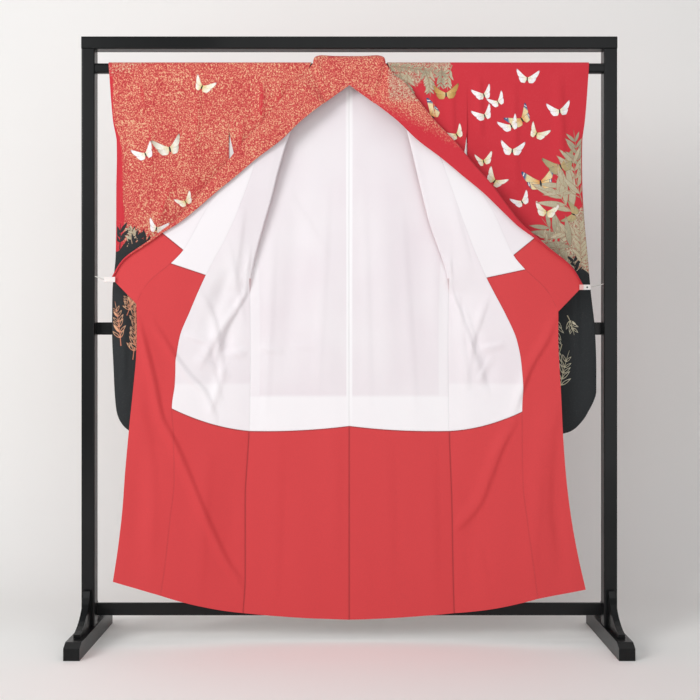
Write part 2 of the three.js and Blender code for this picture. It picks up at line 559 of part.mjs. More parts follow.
// A clip over the collar's lower corner, and the string that ties it to the post.
function addClip(side) {
  const corner = collarGrid(side).at(-1)[COLUMNS.collarLining + 1];
  const { length, width, jaw, slot, grip, lift } = CLIP;
  const half = slot / 2 + jaw;
  const shape = new THREE.Shape();
  shape.moveTo(-grip, -half);
  shape.lineTo(length - grip, -half * 0.6);
  shape.lineTo(length - grip, half * 0.6);
  shape.lineTo(-grip, half);
  shape.lineTo(-grip, slot / 2);
  shape.lineTo(lift, slot / 2);
  shape.lineTo(lift, -slot / 2);
  shape.lineTo(-grip, -slot / 2);
  shape.closePath();
  const geometry = new THREE.ExtrudeGeometry(shape, { depth: width, bevelEnabled: false });
  geometry.translate(0, 0, -width / 2);
  if (side.sign < 0) geometry.rotateZ(Math.PI);
  const clip = addMesh(`clip_${side.name}`, geometry, LOOK.clip);
  clip.position.set(side.sign * corner.x, corner.y, corner.z - 4);
  const start = point(side.sign * (corner.x + length - grip + FIT), corner.y, corner.z - 4);
  const end = point(side.sign * (STAND.innerHalf - FIT), STAND.postFront + 6, corner.z + 8);
  const run = start.distanceTo(end) - 2 * STRING_RADIUS;
  const string = new THREE.CylinderGeometry(STRING_RADIUS, STRING_RADIUS, run, 8);
  const direction = end.clone().sub(start).normalize();
  string.applyQuaternion(new THREE.Quaternion().setFromUnitVectors(point(0, 1, 0), direction));
  addMesh(`string_${side.name}`, string, LOOK.clip).position.copy(start.clone().lerp(end, 0.5));
}

addStand();
for (const side of SIDES) {
  addBack(side);
  addFront(side);
  addOverlap(side);
  addCollar(side);
  addSleeve(side);
  addClip(side);
}

export default furisode;
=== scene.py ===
"""A furisode hung open on a lacquered kimono stand: cloth, print, lacquer, light and camera."""

import json
from functools import partial

import bpy
import numpy as np
from bpy.props import FloatProperty, FloatVectorProperty, PointerProperty
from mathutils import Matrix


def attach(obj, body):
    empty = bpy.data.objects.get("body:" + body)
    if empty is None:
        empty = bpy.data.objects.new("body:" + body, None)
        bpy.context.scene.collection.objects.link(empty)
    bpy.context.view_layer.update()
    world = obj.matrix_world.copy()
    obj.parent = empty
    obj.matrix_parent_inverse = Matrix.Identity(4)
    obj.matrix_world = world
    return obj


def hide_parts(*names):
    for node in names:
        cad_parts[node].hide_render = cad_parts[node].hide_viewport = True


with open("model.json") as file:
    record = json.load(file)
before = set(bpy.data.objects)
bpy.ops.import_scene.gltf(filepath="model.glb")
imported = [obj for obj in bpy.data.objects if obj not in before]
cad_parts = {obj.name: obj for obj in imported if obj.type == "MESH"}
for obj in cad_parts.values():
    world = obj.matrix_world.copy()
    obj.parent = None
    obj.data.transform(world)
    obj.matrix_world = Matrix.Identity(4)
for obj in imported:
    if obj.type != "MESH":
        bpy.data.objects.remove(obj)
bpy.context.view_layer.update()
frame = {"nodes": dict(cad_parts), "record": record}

bl_info = {
    "name": "Furisode on a kimono stand",
    "version": (1, 0, 0),
    "blender": (4, 5, 0),
    "location": "3D View > Sidebar > Furisode",
    "description": "Builds the silk panels, print, linings, clips and lacquered stand of a hung furisode",
    "category": "Object",
}

MM = 0.001

# ---- cut of the garment, in millimetres, as in the solids --------------------------------------------------
ROD = {"front": -19, "back": 7, "top": 1657, "corner": 8}  # the hanging rod's faces and rounding
OUTER = (0.15, 1.35)  # from a panel's middle surface to the faces of its outer cloth, and of its lining
LINING = (-1.15, -0.15)
TURN, TURNS = 4, 8  # radius of the fold at a front's crease, and the steps it is drawn in
WRAP = 1.6  # how far off the rod the cloth's middle surface lies
OVER_ROWS = 5  # rows of a panel that lie over the rod, before its first weft line
TIP, TIP_WIDTH = 3, 6  # weft line where the overlap begins, and its width there
LAST_TURNED = 9  # last weft line on which a front is still turned back
BODY_CHANGE, OVERLAP_CHANGE, COLLAR_CHANGE = 15, 9, 8  # weft lines where the lining turns from white to red
TURN_UP = {"back": 604, "front": 640}  # height of that change, above which the white lining lies double
# Widths by which the columns are spaced.
WIDTHS = {"back": 310, "upper": 190, "flat": 215, "overlap": 130, "sleeve": 335}
SHOULDER = (1590, 1640)  # heights between which the small creases die out below the rod
NECK_SHARE = 1 / 3 + 1e-6  # share of the back's width that the neck cuts away, with room for rounding
SLIT_SHARE, SLIT_ROWS = 3 / 7, (3, 12)  # share of the sleeve's width, and its rows, seen through the arm slit
# The nearness to a seam also sets the shade painted there; a seam weight above 1 darkens it.
SINK, SEAM_REACH = 0.55, 2.0  # how deep a lining's face sinks at a seam, and how far from it
DEEP_SEAM_AND_SHADE = 1.7  # weight of the seam between two linings, against 1 for the others
SMOOTH_ANGLE = 40  # degrees between faces, above which an edge stays sharp
# Paint off the cloth: the first patch, each next one, and how many before it starts again.
PROUD, PROUD_STEP, PROUD_COUNT = 0.25, 0.02, 12
RED = ("back_hem_lining", "front_hem_lining", "okumi_hem_lining", "collar_end_lining")

# Weft lines from shoulder to hem: heights at the centre back seam, side, overlap seam, front edge; sag.
LEVELS = np.array([
    (1600, 1600, 1600, 1600, 0), (1535, 1535, 1540, 1540, 0), (1470, 1470, 1475, 1475, 0),
    (1406, 1406, 1406, 1406, 0), (1340, 1340, 1340, 1345, 0), (1270, 1270, 1273, 1285, 0),
    (1200, 1200, 1200, 1225, 0), (1135, 1135, 1135, 1168, 0), (1085, 1085, 1090, 1119, 0),
    (1040, 1040, 1049, 1081, 0), (990, 990, 1000, 1022, 2), (935, 935, 945, 966, 3),
    (860, 860, 872, 888, 5), (780, 775, 805, 812, 8), (700, 690, 738, 740, 10),
    (618, 604, 670, 672, 11), (530, 515, 575, 590, 10), (420, 410, 465, 490, 9),
    (300, 300, 350, 385, 8), (180, 190, 240, 280, 7), (62, 82, 138, 180, 7),
], float)
CENTRE_Z, SIDE_Z, SEAM_Z, EDGE_Z, DIP = LEVELS.T

# Seam lines of each side: half-width x at height z.
SIDES = {
    "left": {
        "sign": -1, "lowered": 0,
        "crease": [(104, 1660), (126, 1600), (143, 1551), (170, 1456), (196, 1374), (225, 1261), (260, 1139),
                   (276, 1072), (284, 1026)],
        "side": [(343, 1660), (343, 1440), (322, 1380), (316, 1330), (310, 1270), (286, 1006), (284, 862),
                 (287, 604), (298, 410), (298, 183), (304, 82)],
        "seam": [(255, 1406), (301, 1273), (344, 1169), (407, 1049), (453, 944), (478, 881), (489, 848),
                 (495, 743), (504, 670), (495, 521), (512, 327), (525, 212), (536, 138)],
        "edge": [(102, 1654), (141, 1600), (177, 1551), (256, 1440), (403, 1238), (469, 1119), (601, 966),
                 (599, 878), (609, 744), (623, 607), (635, 478), (644, 360), (657, 258), (669, 180)],
        "sleeve": [(688, 1660), (675, 1486), (666, 1433), (669, 1264), (669, 1153), (673, 1070), (680, 999),
                   (681, 879), (676, 771), (672, 688), (666, 651), (652, 623), (625, 601), (590, 591)],
    },
    "right": {
        "sign": 1, "lowered": 22,
        "crease": [(104, 1660), (126, 1600), (141, 1551), (171, 1438), (199, 1321), (231, 1193), (271, 1080),
                   (284, 1026)],
        "side": [(336, 1660), (336, 1440), (323, 1380), (316, 1330), (310, 1270), (286, 1006), (284, 862),
                 (287, 604), (294, 410), (298, 183), (301, 82)],
        "seam": [(252, 1406), (299, 1273), (341, 1156), (394, 1031), (433, 958), (465, 890), (485, 828),
                 (493, 713), (491, 651), (494, 451), (509, 328), (536, 132)],
        "edge": [(102, 1654), (141, 1600), (177, 1551), (256, 1440), (403, 1238), (463, 1106), (590, 940),
                 (590, 879), (598, 719), (604, 599), (616, 449), (628, 360), (639, 294), (654, 223),
                 (669, 158)],
        "sleeve": [(685, 1660), (681, 1595), (673, 1486), (667, 1453), (669, 1298), (676, 1193), (686, 1087),
                   (693, 1005), (706, 879), (709, 777), (709, 717), (688, 663), (655, 617), (622, 597),
                   (590, 591)],
    },
}

# Depth y of each surface at height z.
DEPTH = {
    "back": [(1660, 8.6), (1590, 8.4), (1440, 6), (1270, 1), (1006, -3), (62, -4)],
    "back_side": [(1660, 8.6), (1590, 8.4), (1440, 6), (1330, 1), (1270, -3.5), (1040, -8.6), (990, -9),
                  (62, -9)],
    "upper_side": [(1660, -20.6), (1440, -19), (1330, -11), (1270, -7), (1040, -11.6)],
    "upper_crease": [(1660, -20.6), (1440, -20), (1270, -19), (1139, -17), (1040, -13)],
    "turned_crease": [(1660, -28.6), (1440, -28), (1270, -27), (1139, -25), (1040, -21), (990, -9), (62, -9)],
    "seam": [(1406, -34), (1273, -38), (1000, -42), (848, -42), (670, -38), (138, -38)],
    "edge": [(1654, -24), (1600, -30.5), (1406, -34), (1238, -44), (966, -58), (672, -54), (180, -50)],
    "sleeve_front": [(1660, -20.6), (1600, -20), (1440, -14), (1300, -8), (591, -6)],
    "sleeve_back": [(1660, 8.6), (1600, 8.4), (1440, 7), (1300, 7), (591, 6)],
}

# The large folds on each panel and side: first point x z, last point x z, depth away from the viewer,
# half-width.
FOLDS = {
    ("back", "left"): [(12, 1440, 70, 660, -4, 55), (130, 1420, 200, 640, 4, 45)],
    ("back", "right"): [(90, 1460, 120, 640, -4, 50), (190, 1300, 240, 620, 3, 45)],
    ("front", "left"): [(292, 990, 420, 700, 9, 30), (330, 1080, 420, 880, 6, 30)],
    ("front", "right"): [(300, 960, 430, 720, 9, 30), (330, 1090, 470, 900, 5, 34)],
    ("front", "both"): [(330, 560, 350, 90, 5, 60), (590, 620, 600, 170, 5, 50)],
}

# Small creases that the thin cloth takes, in the same way; their width is that of the steep side.
CREASES = {
    ("front", "left"): [(389, 853, 470, 876, -4, 8), (371, 822, 270, 838, -4, 8), (405, 850, 366, 690, -4, 9),
        (300, 1240, 330, 1010, -3, 12), (345, 1150, 300, 900, -3, 12), (400, 560, 430, 100, -3, 20),
        (330, 960, 430, 780, -5, 10), (440, 820, 340, 760, -3.5, 10), (350, 800, 400, 640, -3, 9)],
    ("front", "right"): [(363, 740, 407, 822, -4, 8), (370, 839, 443, 856, -4, 8),
        (290, 1270, 350, 1050, -3, 12), (310, 1000, 340, 720, -4, 10), (330, 960, 380, 780, -5, 10),
        (360, 300, 400, 110, -3, 20), (540, 560, 520, 160, -3, 20), (330, 900, 400, 700, -4, 10)],
    ("back", "left"): [(60, 1330, 90, 700, -2, 14), (215, 1180, 240, 640, -2.6, 14),
        (180, 1300, 60, 1100, -2, 16), (190, 828, 262, 842, -2.6, 8), (90, 840, 170, 850, -1.6, 9),
        (30, 640, 40, 90, -2, 26), (200, 600, 215, 90, -2.6, 22)],
    ("back", "right"): [(40, 1330, 60, 660, -2, 14), (150, 1250, 190, 640, -2.4, 14),
        (250, 1150, 262, 800, -2.6, 12), (110, 620, 120, 90, -2.2, 22), (240, 600, 245, 100, -2.6, 20)],
    ("sleeve", "left"): [(592, 1640, 585, 1500, -3.6, 8), (648, 1430, 655, 1180, -4.8, 8),
        (500, 1350, 560, 1160, -4, 10), (430, 1610, 440, 1380, -3.6, 10), (640, 1000, 650, 720, -4.8, 12),
        (560, 1560, 575, 1300, -3.2, 12)],
    ("sleeve", "right"): [(600, 1630, 615, 1300, -4, 12), (372, 1630, 378, 1440, -4, 8),
        (640, 1130, 655, 800, -4.8, 12), (470, 1600, 480, 1290, -3.2, 12)],
    ("upper", "left"): [(246, 1625, 252, 1465, -4.8, 9), (190, 1620, 205, 1470, -4, 7),
        (300, 1520, 318, 1360, -4, 8), (330, 1520, 333, 1440, -4, 6), (150, 1625, 170, 1530, -3.6, 7)],
    ("upper", "right"): [(236, 1620, 244, 1440, -4, 8), (292, 1610, 300, 1340, -3.6, 9)],
}
# How many times wider a crease's flat side is than its steep one, and the power it fades with along its
# length; then the first of these for the long creases.
CREASE_FORM = (2.4, 0.6)
LONG_FORM = 2.6
# Long bent creases across front and overlap: points from top to bottom, depth, width of the steep side.
LONG_CREASES = {
    "left": [
        ([(595, 922), (555, 757), (533, 648), (495, 571), (450, 463), (395, 329), (344, 221), (298, 161)],
         -8, 8),
        ([(555, 916), (520, 859), (499, 825), (456, 765), (415, 720), (383, 648)], -7, 8),
        ([(430, 1010), (396, 950), (372, 860), (360, 760)], -5, 9),
        ([(600, 700), (570, 560), (560, 420), (566, 250)], -4, 22),
        ([(284, 1120), (284, 1030), (318, 960), (358, 890), (380, 810)], -6, 6),
    ],
    "right": [
        ([(288, 1120), (288, 1030), (318, 940), (351, 843), (362, 790)], -4, 7),
        ([(475, 640), (437, 571), (401, 477), (371, 400), (323, 338), (292, 315)], -7, 12),
        ([(585, 933), (560, 870), (510, 779), (470, 660)], -6, 9),
        ([(590, 700), (566, 560), (560, 400), (580, 230)], -4, 22),
        ([(400, 1000), (376, 930), (352, 850), (340, 760)], -5, 9),
    ],
}

# Collar rows at the neck: seam point, the two points its curve bends towards, half-width of the free edge.
NECK = [
    ((0, 8.6, 1650), (0, 9.5, 1694), (0, -34, 1694), 0),
    ((45, 8.6, 1650), (45, 9.5, 1696), (43, -36, 1696), 20),
    ((84, 8.6, 1651), (82, 9, 1700), (80, -36, 1700), 42),
    ((97, 3, 1661), (96, -4, 1690), (95, -36, 1690), 52),
    ((101, -8, 1662), (100, -20, 1680), (100, -36, 1675), 60),
    ((103, -22, 1656), (104, -26, 1648), (106, -28, 1635), 68),
]
NECK_FREE = {"apex": 1590, "y": -30, "slope": 0.72}
# The collar at each weft line: how far it lies out, how far its fold comes in again, fold radius, lean out.
COLLAR = np.array([
    (8, 100, 4, 0.63), (12, 84, 4, 0.63), (17, 74, 4, 0.63), (24, 60, 4, 0.63), (30, 46, 4, 0.63),
    (36, 34, 4, 0.65), (43, 22, 4, 0.65), (60, 13, 4, 0.63), (82, 7, 3.5, 0.63), (90, 5, 3, 0.66),
    (97, 4, 2.6, 0.7), (101, 3.5, 2.2, 0.72),
])
OVER_LEAN = 0.72
CUFF = {"bottom": 1432, "blend": 40}
SLEEVE = {"bottom": 591, "round": 70, "attached": 1440}
SLEEVE_ROWS = np.array([
    1600, 1535, 1490, 1432, 1380, 1300, 1210, 1110, 1000, 890, 790, 720, 660, 625, 603, 591.0])


# ---- curves and surfaces -----------------------------------------------------------------------------------
def curve(keys, values, at):
    """Monotone cubic through the points: tangents are harmonic means of the slopes on both sides."""
    keys, values = np.asarray(keys, float), np.asarray(values, float)
    if keys[0] > keys[-1]:
        keys, values = keys[::-1], values[::-1]
    shape = (-1,) + (1,) * (values.ndim - 1)
    width = np.diff(keys).reshape(shape)
    slopes = np.diff(values, axis=0) / width
    before, after = np.concatenate([slopes[:1], slopes]), np.concatenate([slopes, slopes[-1:]])
    rising = before * after > 0
    tangent = np.where(rising, 2 * before * after / np.where(rising, before + after, 1), 0)
    flat = np.clip(np.ravel(at), keys[0], keys[-1])
    i = np.clip(np.searchsorted(keys, flat, side="right") - 1, 0, len(keys) - 2)
    t = (flat - keys[i]).reshape(shape) / width[i]
    found = ((2 * t**3 - 3 * t**2 + 1) * values[i] + (t**3 - 2 * t**2 + t) * width[i] * tangent[i]
             + (3 * t**2 - 2 * t**3) * values[i + 1] + (t**3 - t**2) * width[i] * tangent[i + 1])
    return found.reshape(np.shape(at) + values.shape[1:])


def width_at(rows, z):
    """Half-width at height z, from rows of (x, z)."""
    x, height = np.transpose(rows)
    return curve(height, x, z)


def depth_at(name, z):
    """Depth of a surface at height z, from rows of (z, y)."""
    height, y = np.transpose(DEPTH[name])
    return curve(height, y, z)


def mix(a, b, t):
    """Straight blend from a to b."""
    return a + (b - a) * t


def step(value, low, high):
    """Smooth rise from 0 at low to 1 at high, as 3t^2 - 2t^3."""
    t = np.clip((value - low) / (high - low), 0, 1)
    return t * t * (3 - 2 * t)


def edge_drop(side, z):
    """How much lower the front edge of this side hangs: a smooth rise from height 1400 down to 940."""
    return side["lowered"] * step(1400 - z, 0, 460)


def fold_profile(across, width, long):
    """1 at the line; a Gaussian of the distance, width wide on one side and long times as wide on the
    other."""
    return np.exp(-2 * (np.maximum(across, -across / long) / width) ** 2)


def folds(table, on, name, x, z, long=1.0, fade=1.0):
    """Sum of straight folds: the profile across each line times a power of half a sine along it."""
    total = np.zeros(np.broadcast(x, z).shape)
    for x0, z0, x1, z1, depth, width in table.get((on, name), []) + table.get((on, "both"), []):
        run = np.array([x1 - x0, z1 - z0], float)
        length = np.hypot(*run)
        along = np.clip(((x - x0) * run[0] + (z - z0) * run[1]) / length**2, 0, 1)
        across = ((z - z0) * run[0] - (x - x0) * run[1]) / length * SIDES[name]["sign"]
        total += depth * fold_profile(across, width, long) * np.sin(np.pi * along) ** fade
    return total


def creases(on, name, x, z):
    """Sum of the small creases of a panel."""
    return folds(CREASES, on, name, x, z, *CREASE_FORM)


def long_folds(name, x, z):
    """Sum of the bent creases: the profile about a smooth line, fading at its ends."""
    total = np.zeros(np.broadcast(x, z).shape)
    for points, depth, width in LONG_CREASES[name]:
        top, bottom = points[0][1], points[-1][1]
        lean = (width_at(points, z + 4) - width_at(points, z - 4)) / 8
        across = (x - width_at(points, z)) / np.sqrt(1 + lean**2) * SIDES[name]["sign"]
        fade = step(z, bottom - 60, bottom + 90) * (1 - step(z, top - 90, top + 30))
        total += depth * fade * fold_profile(across, width, LONG_FORM)
    return total


def ripple(x, z, seed):
    """Slow unevenness of hung cloth: three sine waves, 145 to 295 mm long across, with unlike directions."""
    a = np.sin(x / 31 + seed) * np.sin(z / 140 + seed * 2.1)
    b = np.sin(x / 23 - z / 210 + seed * 1.7)
    c = np.sin(x / 47 + z / 95 - seed)
    return (a + 0.7 * b + 0.8 * c) / 2.5


def rod_rows(front):
    """Half of a rounded bar's outline at WRAP off it: a short flat, then a quarter circle down its face."""
    radius = ROD["corner"] + WRAP
    middle = (ROD["front"] + ROD["back"]) / 2
    centre = ROD["front"] + ROD["corner"] if front else ROD["back"] - ROD["corner"]
    way = -1 if front else 1
    turn = np.linspace(0, np.pi / 2, 4)
    y = np.append(middle, centre + way * radius * np.sin(turn))
    z = ROD["top"] - ROD["corner"] + np.append(radius, radius * np.cos(turn))
    return y, z


def spaced(width, gap, edges=(1, 2.2, 4, 7)):
    """Places from 0 to 1 across a width, evenly gap apart, with closer ones by both ends for seam grooves."""
    even = np.linspace(0, 1, max(int(round(width / gap)), 2) + 1)
    close = np.array(edges) / width
    inner = even[(even > close[-1] * 1.3) & (even < 1 - close[-1] * 1.3)]
    return np.concatenate([[0], close, inner, 1 - close[::-1], [1]])


def finer(rows, gap):
    """Numbers of the rows that a grid needs in between, so that they lie about gap apart."""
    at = []
    for i in range(len(rows) - 1):
        length = np.linalg.norm(rows[i + 1] - rows[i], axis=-1).mean()
        count = max(int(np.ceil(length / gap)), 1)
        at.extend(i + np.arange(count) / count)
    return np.array(at + [len(rows) - 1])


# Rows close to a weft line where two linings meet, for the groove of their seam.
NEAR_SEAM = np.array([-0.06, -0.03, -0.012, 0, 0.012, 0.03, 0.06])


def stack(x, y, z):
    """Grid of points from x, y and z, each stretched to the grid's shape."""
    return np.stack(np.broadcast_arrays(x, y, z), axis=-1).astype(float)


def back_rows(name, u):
    """Back panel: x is u times the half-width; the depth blends from centre to side with u squared."""
    side = SIDES[name]
    over_y, over_z = rod_rows(False)
    over = stack(u * width_at(side["side"], over_z)[:, None], over_y[:, None], over_z[:, None])
    z = mix(CENTRE_Z[:, None], SIDE_Z[:, None], u) - DIP[:, None] * 2 * u * (1 - u)
    x = u * width_at(side["side"], SIDE_Z)[:, None]
    y = mix(depth_at("back", z), depth_at("back_side", z), u**2)
    y = y + folds(FOLDS, "back", name, x, z) * np.sin(np.pi * u)
    return np.concatenate([over, stack(x, y, z)])


def seam_line(name):
    """Where the front panel ends at each weft line: on the front edge above the overlap's tip, then its
    seam."""
    side = SIDES[name]
    z = SEAM_Z - 0.4 * edge_drop(side, SEAM_Z)
    above = np.arange(len(z)) < TIP
    x = np.where(above, width_at(side["edge"], z), width_at(side["seam"], z))
    y = np.where(above, depth_at("edge", SEAM_Z), depth_at("seam", SEAM_Z))
    return x, y, z


def front_rows(name, upper, flat):
    """Front panel in three parts: side to crease, half a circle round the crease, and on to the seam."""
    side = SIDES[name]
    over_y, over_z = rod_rows(True)
    crease = width_at(side["crease"], over_z)[:, None]
    over_x = mix(width_at(side["side"], over_z)[:, None], crease + TURN, upper)
    over = stack(over_x, over_y[:, None], over_z[:, None])
    z = SIDE_Z[:, None]
    fold_x = width_at(side["crease"], z)
    fold_y = depth_at("upper_crease", z)
    down_x, down_y = width_at(side["side"], z), depth_at("upper_side", z)
    down = stack(mix(down_x, fold_x + TURN, upper), mix(down_y, fold_y, upper), z)
    angle = np.linspace(0, np.pi, TURNS + 1)[1:-1]
    turned = stack(fold_x + TURN - TURN * np.sin(angle), fold_y - TURN + TURN * np.cos(angle), z)
    turning = np.arange(len(LEVELS))[:, None] <= LAST_TURNED
    x0 = np.where(turning, fold_x + TURN, down_x)
    y0 = depth_at("turned_crease", z)
    seam_x, seam_y, seam_z = (a[:, None] for a in seam_line(name))
    x = mix(x0, seam_x, flat)
    height = mix(z, seam_z, flat) - DIP[:, None] * 4 * flat * (1 - flat)
    y = mix(y0, seam_y, flat) + folds(FOLDS, "front", name, x, height) * np.sin(np.pi * flat)
    return np.concatenate([over, down]), turned, stack(x, y, height)


def overlap_rows(name, u):
    """Overlap panel: straight across from its seam to the front edge, from its tip down."""
    side = SIDES[name]
    x0, y0, z0 = (a[TIP:, None] for a in seam_line(name))
    z1 = (EDGE_Z - edge_drop(side, EDGE_Z))[TIP:, None]
    x1 = width_at(side["edge"], z1)
    x1[0] += TIP_WIDTH
    y1 = depth_at("edge", EDGE_Z[TIP:, None])
    x, y, z = mix(x0, x1, u), mix(y0, y1, u), mix(z0, z1, u)
    return stack(x, y + folds(FOLDS, "front", name, x, z) * np.sin(np.pi * u), z)


def collar_rows(name, c):
    """Collar from seam to free edge, c from 0 to 6: cubic Bezier curves over the neck, then a band that lies
    out for c 0 to 2, turns on half a circle for c 2 to 4 and comes back in for c 4 to 6."""
    side = SIDES[name]
    rows = []
    u = (c / 6)[:, None]
    for seam, over, fore, free in NECK:
        end = np.array((free, NECK_FREE["y"], NECK_FREE["apex"] - NECK_FREE["slope"] * free))
        rows.append((1 - u) ** 3 * np.array(seam) + 3 * u * (1 - u) ** 2 * np.array(over)
                    + 3 * u**2 * (1 - u) * np.array(fore) + u**3 * end)
    levels = EDGE_Z[:len(COLLAR)]
    z = levels - edge_drop(side, levels)
    seam_x = width_at(side["edge"], z) + TIP_WIDTH * (np.arange(len(z)) == TIP)
    seam = stack(seam_x, depth_at("edge", levels), z)[:, None]
    out, over, turn, lean = (column[:, None, None] for column in COLLAR.T)
    outward = np.concatenate([np.sqrt(1 - lean**2), 0 * lean, lean], axis=-1)
    inward = np.array((-np.sqrt(1 - OVER_LEAN**2), 0, -OVER_LEAN))
    forward = np.array((0, -1, 0)) * turn
    fold = seam + outward * out
    angle = (np.clip(c - 2, 0, 2) * np.pi / 2)[None, :, None]
    facing = np.where(angle <= np.pi / 2, outward, -inward)
    bend = fold + (np.sin(angle) - 1) * turn * facing + forward * (1 - np.cos(angle))
    lie = mix(seam, fold - outward * turn, (c / 2)[None, :, None])
    t = ((c - 4) / 2)[None, :, None]
    fore = mix(fold + inward * turn + 2 * forward, fold + inward * over + 2.4 * forward, t)
    place = c[None, :, None]
    down = np.where(place < 2, lie, np.where(place <= 4, bend, fore))
    return np.concatenate([np.array(rows), down])


def sleeve_rows(name, u, front):
    """One leaf of the sleeve bag: half the bag's depth off its middle, closing as a square root at sewn
    edges."""
    side = SIDES[name]
    over_y, over_z = rod_rows(front)
    inner = width_at(side["side"], 1600.0)
    over = stack(mix(inner, width_at(side["sleeve"], over_z)[:, None], u), over_y[:, None], over_z[:, None])
    z = SLEEVE_ROWS[:, None]
    outer = width_at(side["sleeve"], z)
    x = mix(inner + np.where(z >= SLEEVE["attached"], 0, 2), outer, u)
    y0, y1 = depth_at("sleeve_front", z), depth_at("sleeve_back", z)
    sewn = step(CUFF["bottom"] - z, -CUFF["blend"], CUFF["blend"])
    by_edge = mix(1, np.minimum(1, np.sqrt(np.maximum(outer - x, 0) / SLEEVE["round"])), sewn)
    by_bottom = np.minimum(1, np.sqrt(np.maximum(z - SLEEVE["bottom"], 0) / SLEEVE["round"]))
    half = (y1 - y0) / 2 * np.minimum(by_edge, by_bottom)
    return np.concatenate([over, stack(x, (y0 + y1) / 2 + (-half if front else half), z)])


# ---- meshes ------------------------------------------------------------------------------------------------
def beside(grid, used, axis, by):
    """Each point's neighbour along an axis, or the point itself where there is none."""
    moved, there = np.roll(grid, -by, axis), np.roll(used, -by, axis)
    edge = [slice(None), slice(None)]
    edge[axis] = -1 if by > 0 else 0
    there[tuple(edge)] = False
    return np.where(there[..., None], moved, grid)


def used_points(cells):
    """Grid points that a kept cell touches."""
    wide = np.pad(cells, 1)
    return wide[:-1, :-1] | wide[1:, :-1] | wide[:-1, 1:] | wide[1:, 1:]


def normals(grid, used):
    """Unit normals: along a row times down a column."""
    across = beside(grid, used, 1, 1) - beside(grid, used, 1, -1)
    down = beside(grid, used, 0, 1) - beside(grid, used, 0, -1)
    normal = np.cross(across, down)
    return normal / np.maximum(np.linalg.norm(normal, axis=-1, keepdims=True), 1e-9)


def quads_of(number):
    """Faces of a grid of point numbers."""
    return np.stack([number[:-1, :-1], number[:-1, 1:], number[1:, 1:], number[1:, :-1]], -1).reshape(-1, 4)


def shell(grid, low, high, cells=None):
    """Closed wall between two offsets of a grid along its normals; a rim closes each edge of the kept
    cells."""
    rows, columns = grid.shape[:2]
    cells = np.ones((rows - 1, columns - 1), bool) if cells is None else cells
    used = used_points(cells)
    normal = normals(grid, used)
    low, high = (np.broadcast_to(a, (rows, columns))[..., None] for a in (low, high))
    number = np.cumsum(used).reshape(used.shape) - 1
    count = int(used.sum())
    points = np.concatenate([(grid + normal * high)[used], (grid + normal * low)[used]])
    a, b, c, d = (number[:-1, :-1], number[:-1, 1:], number[1:, 1:], number[1:, :-1])
    face = quads_of(number)[cells.ravel()]
    quads = [face, face[:, ::-1] + count]
    wide = np.pad(cells, 1)
    for p, q, gone in ((a, b, ~wide[:-2, 1:-1]), (c, d, ~wide[2:, 1:-1]), (d, a, ~wide[1:-1, :-2]),
                       (b, c, ~wide[1:-1, 2:])):
        edge = cells & gone
        p, q = p[edge], q[edge]
        quads.append(np.stack([p, p + count, q + count, q], -1))
    return points, np.concatenate(quads), used


def cloth_lengths(grid):
    """Each point's distance along its row and down its column, in metres: the cloth's own map."""
    across = np.linalg.norm(np.diff(grid, axis=1), axis=-1)
    down = np.linalg.norm(np.diff(grid, axis=0), axis=-1)
    u = np.pad(np.cumsum(across, axis=1), ((0, 0), (1, 0)))
    v = np.pad(np.cumsum(down, axis=0), ((1, 0), (0, 0)))
    return u * MM, v * MM


def add_mesh(name, points, faces, material, values, uv=None):
    """Object at the origin from points in millimetres; values are point attributes, uv a map in metres."""
    mesh = bpy.data.meshes.new(name)
    mesh.from_pydata((points * MM).tolist(), [], faces.tolist())
    for key, value in values.items():
        if np.ndim(value) == 2:
            mesh.attributes.new(key, "FLOAT_COLOR", "POINT").data.foreach_set("color", np.ravel(value))
        else:
            mesh.attributes.new(key, "FLOAT", "POINT").data.foreach_set("value", value)
    if uv is not None:
        corners = np.empty(len(mesh.loops), int)
        mesh.loops.foreach_get("vertex_index", corners)
        mesh.uv_layers.new(name="cloth").data.foreach_set("uv", uv[corners].ravel())
    mesh.shade_smooth()
    mesh.set_sharp_from_angle(angle=np.radians(SMOOTH_ANGLE))
    mesh.materials.append(material)
    piece = bpy.data.objects.new(name, mesh)
    bpy.context.scene.collection.objects.link(piece)
    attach(piece, "root")
    return piece


def add_cloth(kind, name, grid, band, material, cells, values):
    """A panel of cloth that stands for a solid of the frame; the left side is mirrored and its faces
    turned."""
    node, sign = f"{kind}_{name}", SIDES[name]["sign"]
    points, faces, used = shell(grid, *band, cells)
    points = points * np.array((sign, 1, 1))
    faces = faces if sign > 0 else faces[:, ::-1]
    u, v = cloth_lengths(grid)
    uv = np.tile(np.stack([u[used], v[used]], -1), (2, 1))
    values = {key: np.tile(np.broadcast_to(value, used.shape)[used], 2) for key, value in values.items()}
    piece = add_mesh(node + "_cloth", points, faces, material, values, uv)
    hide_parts(node)


def seam_groove_and_shade(grid, sides, ends):
    """How near a seam each point lies: a Gaussian of its distance from each side and end, times that one's
    weight. The lining sinks by it, and its material paints shade by it along the seam."""
    u, v = cloth_lengths(grid)
    away = ((u, sides[0]), (u[:, -1:] - u, sides[1]), (v, ends[0]), (v[-1:] - v, ends[1]))
    return np.max([weight * np.exp(-(length / MM / SEAM_REACH) ** 2) for length, weight in away], axis=0)


def add_outer(kind, name, part, grid, cells=None):
    """An outer panel of printed crepe, dyed as its part of the garment is."""
    add_cloth(kind, name, grid, OUTER, printed_crepe(), cells,
              silk_values(name, part, grid))


